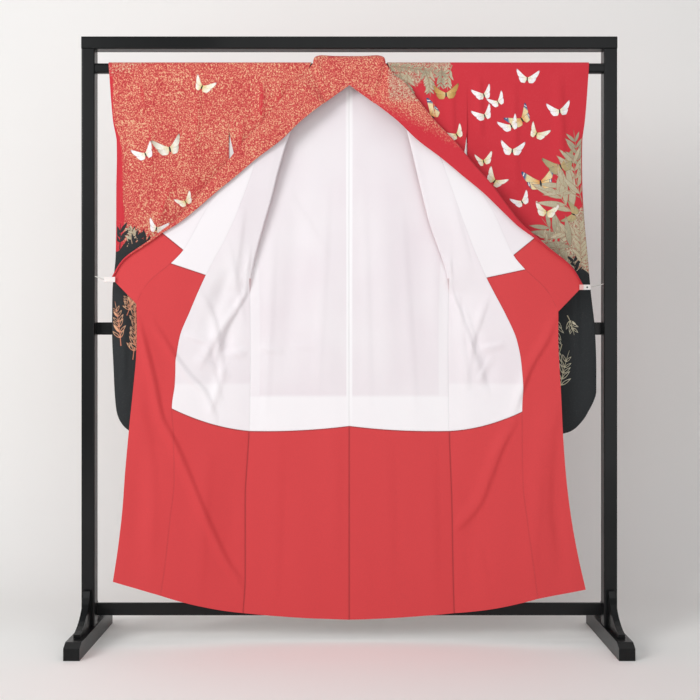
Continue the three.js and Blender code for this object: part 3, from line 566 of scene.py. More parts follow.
def add_lining(kind, name, grid, sides=(1, 1), ends=(1, 1), double=0.0, cells=None):
    """A lining that lies on the panel of the kind under and sinks towards its seams, with shade painted along
    them: red by the hem and at the collar's end, white above."""
    # The seam's nearness sinks the face and goes to the material as painted shade along the seam.
    groove_and_shade = seam_groove_and_shade(grid, sides, ends)
    band = (LINING[0] + SINK * np.minimum(groove_and_shade, 1), LINING[1])
    material, slot = (red_silk(), "red_lining") if kind in RED else (white_silk(), "white_lining")
    add_cloth(kind, name, grid, band, material, cells,
              {"seam": groove_and_shade, "double": double + 0 * groove_and_shade})


# ---- the panels' fine faces --------------------------------------------------------------------------------
# Only the edges of a front panel are worked out past its crease where its upper part alone is wanted.
EDGES = np.array((0.0, 1.0))


def sway(grid, amount, seed, pin):
    """The grid with ripples in depth, held still where pin is 0."""
    moved = grid.copy()
    moved[..., 1] += amount * ripple(grid[..., 0], grid[..., 2], seed) * pin
    return moved


def creased(name, grid):
    """Depth that the small and the long creases add to the fronts."""
    x, z = grid[..., 0], grid[..., 2]
    return creases("front", name, x, z) + long_folds(name, x, z)


def by_edges(u, reach):
    """0 at both ends of a row and 1 further in than reach."""
    return step(np.minimum(u, 1 - u), 0, reach)


def back_face(name, cloth):
    """A back panel's fine grid and row numbers, with its ripples and creases."""
    u = spaced(WIDTHS["back"], cloth.gap)
    rows = back_rows(name, u)
    at = np.unique(np.concatenate([finer(rows, cloth.gap), OVER_ROWS + BODY_CHANGE + NEAR_SEAM]))
    grid = curve(np.arange(len(rows)), rows, at)
    pin = by_edges(u, 0.2) * step(at, 6, 9)[:, None]
    grid = sway(grid, cloth.ripple, 3.0 * (name == "right"), pin)
    grid[..., 1] += creases("back", name, grid[..., 0], grid[..., 2]) * pin
    return grid, at


def upper_face(name, upper, at):
    """The front panel between side and crease: its fine grid, with small creases below the rod."""
    rows = front_rows(name, upper, EDGES)[0]
    grid = curve(np.arange(len(rows)), rows, at)
    pin = by_edges(upper, 0.15) * (1 - step(grid[..., 2], *SHOULDER))
    grid[..., 1] += creases("upper", name, grid[..., 0], grid[..., 2]) * pin
    return grid


def flat_face(name, cloth):
    """The front panel past its crease: row numbers, the half circle round the crease, the fine grid after
    it."""
    flat = spaced(WIDTHS["flat"], cloth.gap)
    first, turned, last = front_rows(name, spaced(WIDTHS["upper"], cloth.gap), flat)
    at = finer(np.concatenate([first[:OVER_ROWS, -1:], last[:, -1:]]), cloth.gap)
    at = np.unique(np.concatenate([at, OVER_ROWS + BODY_CHANGE + NEAR_SEAM]))
    down = at - OVER_ROWS
    levels = np.arange(len(LEVELS))
    turned, last = curve(levels, turned, down), curve(levels, last, down)
    pin = step(down, 1, 4)[:, None]
    last = sway(last, cloth.ripple, 1.5 + 2.0 * (name == "right"), pin * by_edges(flat, 0.25))
    last[..., 1] += creased(name, last) * pin * step(flat, 0, 0.12)
    return at, turned, last


def overlap_face(name, cloth):
    """The overlap panel's fine grid and row numbers, with its ripples and creases."""
    u = spaced(WIDTHS["overlap"], cloth.gap)
    rows = overlap_rows(name, u)
    at = np.unique(np.concatenate([finer(rows, cloth.gap), OVERLAP_CHANGE - TIP + NEAR_SEAM]))
    grid = curve(np.arange(len(rows)), rows, at)
    pin = step(at, 2, 7)[:, None]
    grid = sway(grid, cloth.ripple, 4.0 + (name == "right"), pin * by_edges(u, 0.3))
    grid[..., 1] += creased(name, grid) * pin
    return grid, at


def sleeve_face(name, leaf, cloth):
    """A sleeve leaf's fine grid and row numbers; long soft flutes fade out towards its seams and hem."""
    u = spaced(WIDTHS["sleeve"], cloth.gap)
    rows = sleeve_rows(name, u, leaf == "front")
    at = finer(rows, cloth.gap)
    grid = curve(np.arange(len(rows)), rows, at)
    pin = by_edges(u, 0.25) * (step(at, 5, 9) * (1 - step(at, 14, 18)))[:, None]
    grid = sway(grid, cloth.ripple * 0.8, 2.0 if leaf == "front" else 5.0, pin)
    if leaf == "front":
        crease = creases("sleeve", name, grid[..., 0], grid[..., 2])
        grid[..., 1] += crease * by_edges(u, 0.06) * (1 - step(grid[..., 2], *SHOULDER))
    return grid, at


# ---- materials ---------------------------------------------------------------------------------------------
def linear(code):
    """An sRGB hex colour as linear red, green, blue and full alpha."""
    c = np.array([int(code[i:i + 2], 16) for i in (1, 3, 5)]) / 255
    return (*np.where(c <= 0.04045, c / 12.92, ((c + 0.055) / 1.055) ** 2.4).tolist(), 1.0)


def feed(tree, node, inputs):
    """Give a node's inputs their values, or the outputs that feed them."""
    for name, value in inputs.items():
        if isinstance(value, bpy.types.NodeSocket):
            tree.links.new(value, node.inputs[name])
        else:
            node.inputs[name].default_value = value


def add_node(tree, kind, inputs=None, stops=None, out=0, **settings):
    """A node with its settings and inputs, as the output asked for; stops are a ramp's colours."""
    node = tree.nodes.new("ShaderNode" + kind)
    for name, value in settings.items():
        setattr(node, name, value)
    feed(tree, node, inputs or {})
    if stops:
        ramp = node.color_ramp.elements
        while len(ramp) < len(stops):
            ramp.new(0.5)
        for element, (place, shade) in zip(ramp, stops):
            element.position = place
            element.color = linear(shade) if isinstance(shade, str) else (shade, shade, shade, 1)
    return node.outputs[out]


def made_once(name, **shader):
    """Turns a recipe into a function that gives its material, made at the first call. The recipe gets
    add_node for the material's tree and the place in object coordinates, and returns what goes into the
    surface's inputs; shader has the constant ones."""
    def wrap(recipe):
        def give():
            material = bpy.data.materials.get(name)
            if material is None:
                material = bpy.data.materials.new(name)
                material.use_nodes = True
                tree = material.node_tree
                place = add_node(tree, "TexCoord", out="Object")
                inputs = {**shader, **recipe(partial(add_node, tree), place)}
                feed(tree, tree.nodes["Principled BSDF"],
                     {key.replace("_", " "): inputs[key] for key in inputs})
            return material
        return give
    return wrap


# Inputs of a Mix node for colours and the output that has the mixed colour.
FACTOR, FIRST, SECOND = 0, 6, 7
COLOURS = {"data_type": "RGBA", "out": 2}
# Inputs of a Map Range node.
FROM_LOW, FROM_HIGH, TO_LOW, TO_HIGH = 1, 2, 3, 4


def painted_seam_shade(add, colour, depth):
    """Painted shade along a seam: darkens a colour in the groove where the stitches pull the cloth in."""
    seam = add("Attribute", attribute_name="seam", out="Fac")
    light = add("Math", {0: seam, 1: -depth, 2: 1.0}, operation="MULTIPLY_ADD")
    return add("VectorMath", {0: colour, "Scale": light}, operation="SCALE")


@made_once("printed crepe silk", Sheen_Weight=0.25, Sheen_Roughness=0.4, Specular_IOR_Level=0.35)
def printed_crepe(add, place):
    """Crepe silk, dyed red, strewn with gold dust above and dyed black below; its fine grain makes it
    matt."""
    cloth = bpy.context.scene.furisode_cloth
    # The dust field also carries the shade painted along creases, where the gold is thinned.
    dust, olive, black = (add("Attribute", attribute_name=name, out="Fac")
                          for name in ("dust", "olive", "black"))
    # Dust clumps of about 4 mm, thinned in patches of about 80 mm.
    clump = add("TexNoise", {"Vector": place, "Scale": 1000 / cloth.dust_grain, "Detail": 3.0,
                             "Roughness": 0.62, "Distortion": 0.6})
    patch = add("TexNoise", {"Vector": place, "Scale": 12.0, "Detail": 3.0})
    level = add("Math", {0: patch, 1: 0.13, 2: clump}, operation="MULTIPLY_ADD")
    gold = add("ValToRGB", {"Fac": level}, stops=[
        (0.45, "#B33336"), (0.53, "#CB4546"), (0.59, "#D25F54"), (0.635, "#D98A6E"), (0.70, "#E6BC94")])
    powder = add("ValToRGB", {"Fac": level}, stops=[
        (0.46, "#96735F"), (0.53, "#A0957E"), (0.60, "#B9AE94"), (0.70, "#CFC5A9")])
    colour = add("Mix", {FACTOR: patch, FIRST: (*cloth.ground, 1), SECOND: linear("#CE2F3C")}, **COLOURS)
    # Each field lies over the ones before; the clumps break up the edge of the dust, the patches that of
    # the dye.
    for field, noise, edge, over in ((dust, clump, (0.3, 0.62), gold), (olive, clump, (0.35, 0.5), powder),
                                     (black, patch, (0.49, 0.51), linear("#26292B"))):
        broken = add("Math", {0: noise, 1: 0.5, 2: -0.25}, operation="MULTIPLY_ADD")
        broken = add("Math", {0: field, 1: broken}, operation="ADD")
        covered = add("ValToRGB", {"Fac": broken}, stops=[(edge[0], 0), (edge[1], 1)])
        colour = add("Mix", {FACTOR: covered, FIRST: colour, SECOND: over}, **COLOURS)
    shine = add("MapRange", {"Value": level, FROM_LOW: 0.62, FROM_HIGH: 0.76, TO_LOW: 0.78, TO_HIGH: 0.48})
    # Crepe's crimped yarns lie about 0.5 mm apart; drawn at 2.2 mm so that the grain shows.
    grain = add("TexVoronoi", {"Vector": place, "Scale": 450.0}, feature="SMOOTH_F1")
    bump = add("Bump", {"Strength": 0.35, "Distance": 0.0004, "Height": grain})
    return {"Base_Color": colour, "Roughness": shine, "Normal": bump}


@made_once("white lining silk", Sheen_Weight=0.2, Sheen_Roughness=0.3, Specular_IOR_Level=0.4)
def white_silk(add, place):
    """Plain white silk, thin enough that the red cloth behind shows through as a faint pink bloom."""
    double = add("Attribute", attribute_name="double", out="Fac")
    bloom = add("TexNoise", {"Vector": place, "Scale": 4.0, "Detail": 2.0, "Roughness": 0.4})
    thin = add("ValToRGB", {"Fac": bloom}, stops=[(0.3, "#EBE2E7"), (0.5, "#EEE7EB"), (0.7, "#F1ECEF")])
    colour = add("Mix", {FACTOR: double, FIRST: thin, SECOND: linear("#FAF8FA")}, **COLOURS)
    slub = add("Mapping", {"Vector": place, "Scale": (40.0, 40.0, 900.0)})
    thread = add("TexNoise", {"Vector": slub, "Scale": 1.0, "Detail": 2.0})
    shine = add("MapRange", {"Value": thread, TO_LOW: 0.42, TO_HIGH: 0.56})
    bump = add("Bump", {"Strength": 0.12, "Distance": 0.0003, "Height": thread})
    # Faint painted shade along the seams.
    return {"Base_Color": painted_seam_shade(add, colour, 0.12), "Roughness": shine, "Normal": bump}


@made_once("red lining silk", Sheen_Weight=0.3, Sheen_Roughness=0.35, Specular_IOR_Level=0.35)
def red_silk(add, place):
    """Red crepe lining: dyed evenly, with a fine pebbled grain that scatters light softly."""
    # Crepe grain of 2 mm, coarser than the real 0.5 mm so that it shows.
    grain = add("TexNoise", {"Vector": place, "Scale": 420.0, "Detail": 2.0, "Roughness": 0.7})
    lining = (*bpy.context.scene.furisode_cloth.lining, 1)
    colour = add("Mix", {FACTOR: grain, FIRST: linear("#CB3C40"), SECOND: lining}, **COLOURS)
    shine = add("MapRange", {"Value": grain, TO_LOW: 0.62, TO_HIGH: 0.78})
    bump = add("Bump", {"Strength": 0.3, "Distance": 0.0004, "Height": grain})
    # Deep painted shade along the seams, darkest where the red meets the white lining.
    return {"Base_Color": painted_seam_shade(add, colour, 0.42), "Roughness": shine, "Normal": bump}


@made_once("painted dye", Specular_IOR_Level=0.3, Sheen_Weight=0.15)
def painted_dye(add, place):
    """Dye and metal powder painted on the silk: matt, each motif in its own colours."""
    paint = add("Attribute", attribute_name="paint", out="Color")
    grain = add("TexNoise", {"Vector": place, "Scale": 260.0, "Detail": 3.0, "Roughness": 0.7})
    fleck = add("MapRange", {"Value": grain, FROM_LOW: 0.3, FROM_HIGH: 0.7, TO_LOW: 0.82, TO_HIGH: 1.08})
    colour = add("VectorMath", {0: paint, "Scale": fleck}, operation="SCALE")
    shine = add("MapRange", {"Value": grain, TO_LOW: 0.6, TO_HIGH: 0.75})
    return {"Base_Color": colour, "Roughness": shine}


@made_once("black lacquer", Coat_Weight=0.15, Coat_Roughness=0.08, Coat_IOR=1.5, IOR=1.5,
           Specular_IOR_Level=0.2)
def black_lacquer(add, place):
    """Urushi-style lacquer on wood: many polished coats, deep gloss, with faint waviness and dust in it."""
    wave = add("TexNoise", {"Vector": place, "Scale": 14.0, "Detail": 2.0})
    speck = add("TexNoise", {"Vector": place, "Scale": 300.0, "Detail": 2.0})
    lacquer = (*bpy.context.scene.furisode_stand.lacquer, 1)
    colour = add("Mix", {FACTOR: wave, FIRST: lacquer, SECOND: linear("#0F1112")}, **COLOURS)
    shine = add("MapRange", {"Value": speck, TO_LOW: 0.26, TO_HIGH: 0.38})
    bump = add("Bump", {"Strength": 0.15, "Distance": 0.001, "Height": wave})
    return {"Base_Color": colour, "Roughness": shine, "Normal": bump}


# Half-width in metres where the clip's coloured tip ends, the middle of its spring's eye and the eye's rim.
TIP_END = 0.66
SPRING_EYE = (0.67, 0, 1.0125)
EYE_RIM = (0.0022, 0.003)


@made_once("white moulded plastic", IOR=1.49, Subsurface_Weight=0.1)
def moulded_plastic(add, place):
    """Injection-moulded white polypropylene: smooth, slightly waxy, with a pink tip and the dark eye of a
    spring."""
    grain = add("TexNoise", {"Vector": place, "Scale": 500.0, "Detail": 2.0})
    colour = add("Mix", {FACTOR: grain, FIRST: linear("#E6DAD6"), SECOND: linear("#F3EAE7")}, **COLOURS)
    x = add("SeparateXYZ", {0: place}, out="X")
    out = add("Math", {0: x}, operation="ABSOLUTE")
    flat = add("CombineXYZ", {"X": out, "Z": x.node.outputs["Z"]})
    eye = add("VectorMath", {0: flat, 1: SPRING_EYE}, operation="DISTANCE", out="Value")
    for value, low, high, shade in ((out, TIP_END - 0.001, TIP_END, "#F0B4B0"), (eye, *EYE_RIM, "#3A3A3C")):
        within = add("MapRange", {"Value": value, FROM_LOW: low, FROM_HIGH: high, TO_LOW: 1.0, TO_HIGH: 0.0})
        colour = add("Mix", {FACTOR: within, FIRST: colour, SECOND: linear(shade)}, **COLOURS)
    shine = add("MapRange", {"Value": grain, TO_LOW: 0.3, TO_HIGH: 0.42})
    return {"Base_Color": colour, "Roughness": shine}


@made_once("twisted cotton", Sheen_Weight=0.4)
def twisted_cotton(add, place):
    """Two-ply white cotton string: slanting plies about 1.5 mm apart, matt, with painted shade greying the
    grooves between them."""
    ply_and_shade = add("TexWave", {"Vector": place, "Scale": 200.0}, bands_direction="DIAGONAL", out="Fac")
    # Painted shade: the colour goes grey in the plies' grooves, where the bump is low.
    colour = add("Mix", {FACTOR: ply_and_shade, FIRST: linear("#C9C5BC"), SECOND: linear("#F1EFEA")}, **COLOURS)
    bump = add("Bump", {"Strength": 0.5, "Distance": 0.0005, "Height": ply_and_shade})
    return {"Base_Color": colour, "Normal": bump}


@made_once("studio paper", Roughness=0.9, Specular_IOR_Level=0.2)
def studio_paper(add, place):
    """Matt white paper, even and without grain; clear from behind, so that the garment's back can be
    looked at."""
    tree = place.id_data
    behind = add("NewGeometry", out="Backfacing")
    paper = add("MixShader", {0: behind, 1: tree.nodes["Principled BSDF"].outputs[0],
                              2: add("BsdfTransparent")})
    feed(tree, tree.nodes["Material Output"], {"Surface": paper})
    return {"Base_Color": (*bpy.context.scene.furisode_stage.backdrop, 1)}


# ---- print -------------------------------------------------------------------------------------------------
CREASE_SHADE = 0.15  # how much gold dust a crease 1 mm deep takes off, so that the red shows as painted shade in the crease


def dyed(low, z):
    """How black the cloth is: it rises over the 60 mm about the height low, where the red ends."""
    return np.clip(0.5 + (low - z) / 60, 0, 1)


def ground(name, part, x, z):
    """Where the ground is strewn with gold dust, where with olive dust and where it is black, from 0 to 1;
    the gold is thinned along creases as painted shade, so that they show as darker red lines."""
    side = SIDES[name]
    none = 0 * x * z
    if part == "sleeve":
        outer = width_at(side["sleeve"], z)
        if name == "left":
            # Gold all over but for a plain red band by the outer edge, wider further down.
            band = 5 + 14 * step(1500 - z, 0, 350) + 3 * np.sin(z / 31)
            plain = step(x, outer - band - 8, outer - band + 4)
            # Thin olive at the shoulder's outer corner and above the black ground.
            low = 1140 + 14 * np.sin(x / 23) + 9 * np.sin(x / 9)
            olive = step(z + 0.35 * x, 1770, 1870) * 0.36 + 0.3 * step(1240 - z + 0.4 * (x - 560), 0, 80)
            # Painted shade: the gold thins along the sleeve's creases.
            return 1 - plain + CREASE_SHADE * creases("sleeve", name, x, z), olive, dyed(low, z)
        # No gold: olive by the outer edge up to height 1310, over a black ground with a long wavy edge.
        low = 1048 + 50 * np.sin((x - 400) / 90) + 12 * np.sin(x / 13)
        olive = step(x - 560 - 0.34 * (z - 1056) + 12 * np.sin(z / 17), 0, 40) * (1 - step(z, 1230, 1310))
        return none, 0.5 * olive, dyed(low, z)
    low = 560 + 40 * np.sin(x / 70)
    black = dyed(low, z) + none
    if part == "front":
        if name == "left":
            # Painted shade: the gold thins along the upper front's creases.
            return step(z, 1285, 1370) + CREASE_SHADE * creases("upper", name, x, z), none, black
        # Gold by the collar, and olive at the shoulder above a slanting wavy edge.
        low = 1566 + 0.32 * (x - 117) + 9 * np.sin(x / 11)
        olive = step(z, low - 22, low + 22) * (1 - step(x + 8 * np.sin(z / 9), 292, 316))
        return (1 - step(x, 95, 135)) + none, 0.46 * olive, black
    if part == "collar":
        dust = step(z + 0.3 * x, 1250, 1360) if name == "left" else step(z + 0.5 * x, 1500, 1680)
        olive = step(z, 1480, 1560) * step(x, 80, 120) * 0.42 if name == "right" else 0
        return dust + none, olive + none, dyed(1000, z) + none
    return (step(z, 1000, 1500) if name == "left" else 0) + none, none, black


def silk_values(name, part, grid):
    """The three ground fields of a panel's points."""
    return dict(zip(("dust", "olive", "black"), ground(name, part, grid[..., 0], grid[..., 2])))


# Widths in millimetres over which double layers end, and how strongly they show: by the first edge, by the
# other one and over the turn-up.
SEAM_BAND, FAR_BAND, TURN_BAND = (7, 9), (26, 30), (94, 106)
FAR_SHARE, TURN_SHARE = 0.4, 0.8


def doubled(grid, change, seams=True):
    """Where the lining lies double and looks whiter: seam allowances, and the turn-up above the colour
    change."""
    x, z = grid[..., 0], grid[..., 2]
    u = cloth_lengths(grid)[0] / MM
    width = u[:, -1:]
    bands = (1 - step(u, *SEAM_BAND)) + FAR_SHARE * (1 - step(width - u, *FAR_BAND))
    low = 1 - step(z, change + TURN_BAND[0], change + TURN_BAND[1])
    return np.clip(np.maximum(bands * seams, low * TURN_SHARE), 0, 1) + 0 * x


# ---- motifs ------------------------------------------------------------------------------------------------
# Each kind of motif: colour by the root, main colour, colour towards the margin, thin outline.
KINDS = {
    "white": ("#F3E6C0", "#FBF8F7", "#FCF6F8", "#B4667A"),
    "cream": ("#E8CE7E", "#F7EFD6", "#FBF7EE", "#A8695E"),
    "gold": ("#E2C98C", "#CDA45C", "#B98A48", "#7E4A34"),
    "tinted": ("#E7A24E", "#EFD9A6", "#4C6592", "#3A3F63"),
    "ash": ("#E5D3A0", "#F1ECE0", "#CFC7B4", "#8A6A58"),
    "khaki": ("#B9AE91", "#C1B79B", "#C9C0A5", "#A4624E"),
    "sage": ("#A09880", "#ABA48A", "#B4AC93", "#94604C"),
    "coral": ("#DB8E70", "#E6AE88", "#EDC49C", "#A8503E"),
    "ink": ("#26292B", "#26292B", "#292C2E", "#26292B"),
    "moss": ("#C7A873", "#B9A87C", "#A7A07A", "#6E6A4A"),
    "bone": ("#CFC7A8", "#D6CFB4", "#DAD4BE", "#8C866E"),
}
# Half a butterfly one unit wide: leading and trailing edge of its fore and hind wing.
FOREWING = ([(0.02, 0.03), (0.16, 0.12), (0.31, 0.24), (0.47, 0.36)],
            [(0.03, -0.01), (0.2, -0.02), (0.38, 0.05), (0.5, 0.31)])
HINDWING = ([(0.02, 0.0), (0.14, 0.01), (0.27, 0.03), (0.37, 0.04)],
            [(0.02, -0.06), (0.1, -0.2), (0.24, -0.19), (0.37, -0.02)])
# Butterflies on each side and part: x, z, wingspan, turn in degrees, width of each wing, kind.
BUTTERFLIES = {
    ("left", "sleeve"): [(420, 1589, 72, 22, 1.0, 0.72, "cream"), (584, 1398, 74, -22, 0.78, 1.0, "white"),
        (514, 1414, 92, -12, 0.8, 1.05, "ash"), (552, 1186, 66, 14, 1.0, 0.8, "white"),
        (470, 1262, 60, -30, 0.9, 0.9, "cream")],
    ("right", "front"): [(276, 1568, 78, 4, 1.0, 1.0, "gold"), (232, 1503, 96, 62, 0.75, 0.9, "tinted"),
        (306, 1452, 62, 30, 0.95, 0.8, "cream"), (262, 1398, 56, -10, 0.9, 0.9, "white")],
    ("right", "sleeve"): [(508, 1612, 70, -4, 0.95, 1.0, "white"), (384, 1566, 66, 16, 1.0, 0.75, "white"),
        (424, 1546, 62, 28, 0.85, 0.8, "white"), (386, 1508, 68, 20, 1.0, 0.75, "white"),
        (462, 1478, 70, 22, 1.0, 0.7, "white"), (492, 1497, 86, 34, 1.0, 0.8, "tinted"),
        (536, 1456, 70, -24, 0.7, 1.0, "cream"), (600, 1520, 72, 8, 1.0, 0.95, "white"),
        (466, 1408, 74, -4, 0.95, 1.0, "white"), (384, 1378, 62, 14, 0.7, 1.0, "cream"),
        (418, 1322, 72, -38, 1.0, 0.85, "cream"), (604, 1364, 100, 18, 0.9, 1.0, "moss"),
        (548, 1318, 104, 8, 1.0, 0.85, "tinted"), (494, 1262, 64, 28, 0.9, 0.9, "white"),
        (640, 1226, 72, 70, 0.9, 0.9, "moss"), (566, 1232, 74, -10, 1.0, 0.9, "cream")],
    ("left", "back"): [(200, 760, 84, 18, 1.0, 0.8, "white"), (120, 860, 74, -20, 0.8, 1.0, "cream"),
        (240, 1120, 72, -30, 1.0, 0.8, "white")],
    ("right", "back"): [(90, 720, 80, -8, 1.0, 0.9, "white"), (210, 820, 92, 30, 0.9, 0.9, "tinted"),
        (150, 1010, 70, 12, 1.0, 0.8, "cream"), (240, 1240, 74, 25, 0.9, 1.0, "white")],
}
# Leaf sprays on each side and part: x and z of the foot, heading in degrees from upwards towards +x, length,
# pairs of leaves, leaf length, bend in degrees, kind.
SPRAYS = {
    ("right", "front"): [
        (104, 1648, 172, 92, 7, 26, 24, "khaki"), (132, 1652, 150, 150, 8, 34, 30, "khaki"),
        (168, 1652, 186, 120, 6, 34, -20, "khaki"), (206, 1654, 150, 96, 6, 28, 30, "sage"),
        (236, 1652, 196, 84, 6, 28, -24, "khaki"), (262, 1652, 170, 70, 5, 26, 30, "sage"),
        (296, 1654, 206, 76, 5, 26, -30, "khaki"), (90, 1650, 96, 200, 12, 22, 4, "sage"),
        (150, 1640, 196, 60, 4, 26, 10, "sage"), (120, 1600, 160, 60, 4, 30, 0, "khaki")],
    ("right", "sleeve"): [
        (668, 1200, -46, 150, 4, 96, 20, "khaki"), (676, 1240, -20, 170, 5, 80, 16, "khaki"),
        (668, 1110, -60, 150, 5, 84, 24, "sage"), (610, 1040, -16, 150, 8, 34, -20, "khaki"),
        (668, 1330, -14, 130, 5, 50, 6, "sage"), (640, 1050, -26, 150, 8, 36, -14, "sage"),
        (672, 1160, -84, 90, 5, 50, 20, "khaki"), (572, 1040, -30, 120, 8, 28, 10, "khaki"),
        (664, 1060, 2, 150, 8, 40, -10, "khaki"), (590, 1060, 6, 110, 7, 28, 20, "sage"),
        (668, 1270, -62, 90, 3, 84, 14, "khaki"), (640, 900, -10, 110, 6, 44, 10, "ink"),
        (600, 960, -24, 120, 6, 50, 20, "ink"), (660, 980, -12, 130, 7, 46, 10, "ink"),
        (560, 960, -40, 100, 5, 44, 10, "ink"), (596, 950, 178, 130, 6, 30, 16, "bone"),
        (612, 860, 196, 120, 5, 34, 10, "bone"), (600, 700, 8, 130, 5, 34, 10, "bone"),
        (622, 940, 150, 60, 3, 26, 20, "bone")],
    ("left", "sleeve"): [
        (640, 1128, -30, 60, 4, 20, 20, "khaki"), (622, 1136, 10, 58, 4, 20, 10, "khaki"),
        (606, 1150, 30, 44, 3, 18, 10, "khaki"), (660, 1118, -6, 74, 3, 44, 8, "ink"),
        (600, 1100, 14, 90, 5, 34, 10, "ink"), (560, 1110, 30, 74, 4, 30, 10, "ink"),
        (500, 1100, 10, 80, 4, 34, -20, "ink"), (440, 1100, -20, 84, 4, 34, 10, "ink"),
        (390, 1104, 20, 76, 4, 32, 10, "ink"), (630, 1104, -24, 80, 4, 34, 10, "ink"),
        (654, 840, 4, 130, 6, 30, 8, "coral"), (622, 800, -8, 190, 9, 30, 14, "coral"),
        (600, 806, 10, 190, 9, 30, -12, "coral"), (584, 820, -6, 150, 7, 28, 10, "coral"),
        (640, 930, -24, 70, 4, 26, 20, "coral"), (560, 830, 12, 130, 6, 26, -10, "coral"),
        (618, 930, 20, 70, 4, 26, -10, "coral"), (480, 760, 6, 200, 9, 28, 10, "coral"),
        (520, 760, -10, 190, 11, 26, 10, "coral"), (440, 780, 0, 180, 10, 26, -10, "coral")],
}


def hem_sprays(start, end, foot, slope, length, longer, leaf, kinds):
    """Sprays that stand up from the hem, one each 34 mm from start to end and each a little unlike the
    next."""
    return [(x, foot + slope * (x - 300) + 30 * (k % 3), -24 + 12 * (k % 5), length + longer * (k % 4), 14,
             leaf, 14 - 7 * (k % 4), kinds[k % 4]) for k, x in enumerate(range(start, end, 34))]


for half in SIDES:
    SPRAYS[half, "back"] = hem_sprays(20, 300, 150, 0, 330, 40, 52, ("khaki", "sage", "coral", "moss"))
    SPRAYS[half, "skirt"] = hem_sprays(316, 530, 130, 0.3, 300, 34, 50, ("sage", "coral", "khaki", "moss"))
    SPRAYS[half, "overlap"] = hem_sprays(556, 650, 130, 0.3, 300, 34, 50, ("sage", "coral", "khaki", "moss"))


# Along a motif: where the root's colour ends, where the margin's starts and over how much it rises, the
# same for a wing with a coloured margin, and where the outline starts at the tip and along the edges.
ROOT_END, MARGIN, MARGIN_RISE = 0.45, 0.55, 0.3
TINT_END, TINTED = 0.5, 0.8
TIP_LINE, EDGE_LINE = 0.985, 0.02


def ruled(lead, trail, rows, across, kind):
    """A painted patch ruled between two curves: rows from root to tip, across from edge to edge; colour runs
    from the root's to the margin's, and the outermost strip is the outline."""
    t = np.linspace(0, 1, len(lead))
    at = np.linspace(0, 1, rows)
    a, b = curve(t, lead, at)[:, None], curve(t, trail, at)[:, None]
    s = np.asarray(across)[None, :, None]
    points = a + (b - a) * s
    root, main, margin, outline = (np.array(linear(code)) for code in KINDS[kind])
    along = at[:, None, None]
    shade = np.where(along < ROOT_END, mix(root, main, np.clip(along / ROOT_END, 0, 1)),
                     mix(main, margin, np.clip((along - MARGIN) / MARGIN_RISE, 0, 1)))
    if kind == "tinted":
        shade = np.where(along < TINTED, mix(root, main, np.clip(along / TINT_END, 0, 1)), margin)
    rim = np.minimum(s[..., 0], 1 - s[..., 0])[..., None] < EDGE_LINE
    return points, np.where(rim | (along > TIP_LINE), outline, shade)


# Places across a wing, from edge to edge, and a butterfly's body: its left and its right side.
ACROSS = (0, 0.06, 0.3, 0.5, 0.7, 0.94, 1)
BODY = np.array([[(-0.012, -0.13), (-0.03, -0.05), (-0.012, 0.05)],
                 [(0.012, -0.13), (0.03, -0.05), (0.012, 0.05)]])
# A small disc of three rows of three points, and the size and the places of the dots in a wing's margin.
DOT = np.array([[(-0.7, -0.7), (0, -1), (0.7, -0.7)],
                [(-1, 0), (0, 0), (1, 0)],
                [(-0.7, 0.7), (0, 1), (0.7, 0.7)]])
DOT_SIZE, DOT_PLACES = 0.016, (0.2, 0.4, 0.6, 0.8)


def butterfly(x, z, span, turn, left, right, kind):
    """Four ruled wings and a slim dark body about (x, z), turned in the plane of the cloth."""
    c, s = np.cos(np.radians(turn)), np.sin(np.radians(turn))
    patches = []
    for lead, trail in np.array((HINDWING, FOREWING)):
        for way, width in ((-1, left), (1, right)):
            points, shade = ruled(lead, trail, 11, ACROSS, kind)
            # A wing that is turned away looks narrower and a little taller.
            wing = np.array((way * width, 1 + 0.35 * (1 - width)))
            patches.append((points * wing, shade))
            if kind == "tinted":
                # White dots stand in the blue margin.
                start, end = (mix(edge[-2], edge[-1], 0.62) for edge in (lead, trail))
                for place in DOT_PLACES:
                    patches.append(((mix(start, end, place) + DOT_SIZE * DOT) * wing,
                                    np.array(linear("#F6F1E6"))))
    patches.append(ruled(*BODY, 6, (0, 0.5, 1), "ink"))
    turned = np.array(((c, -s), (s, c))) * span
    return [(np.array((x, z)) + points @ turned.T, shade) for points, shade in patches]


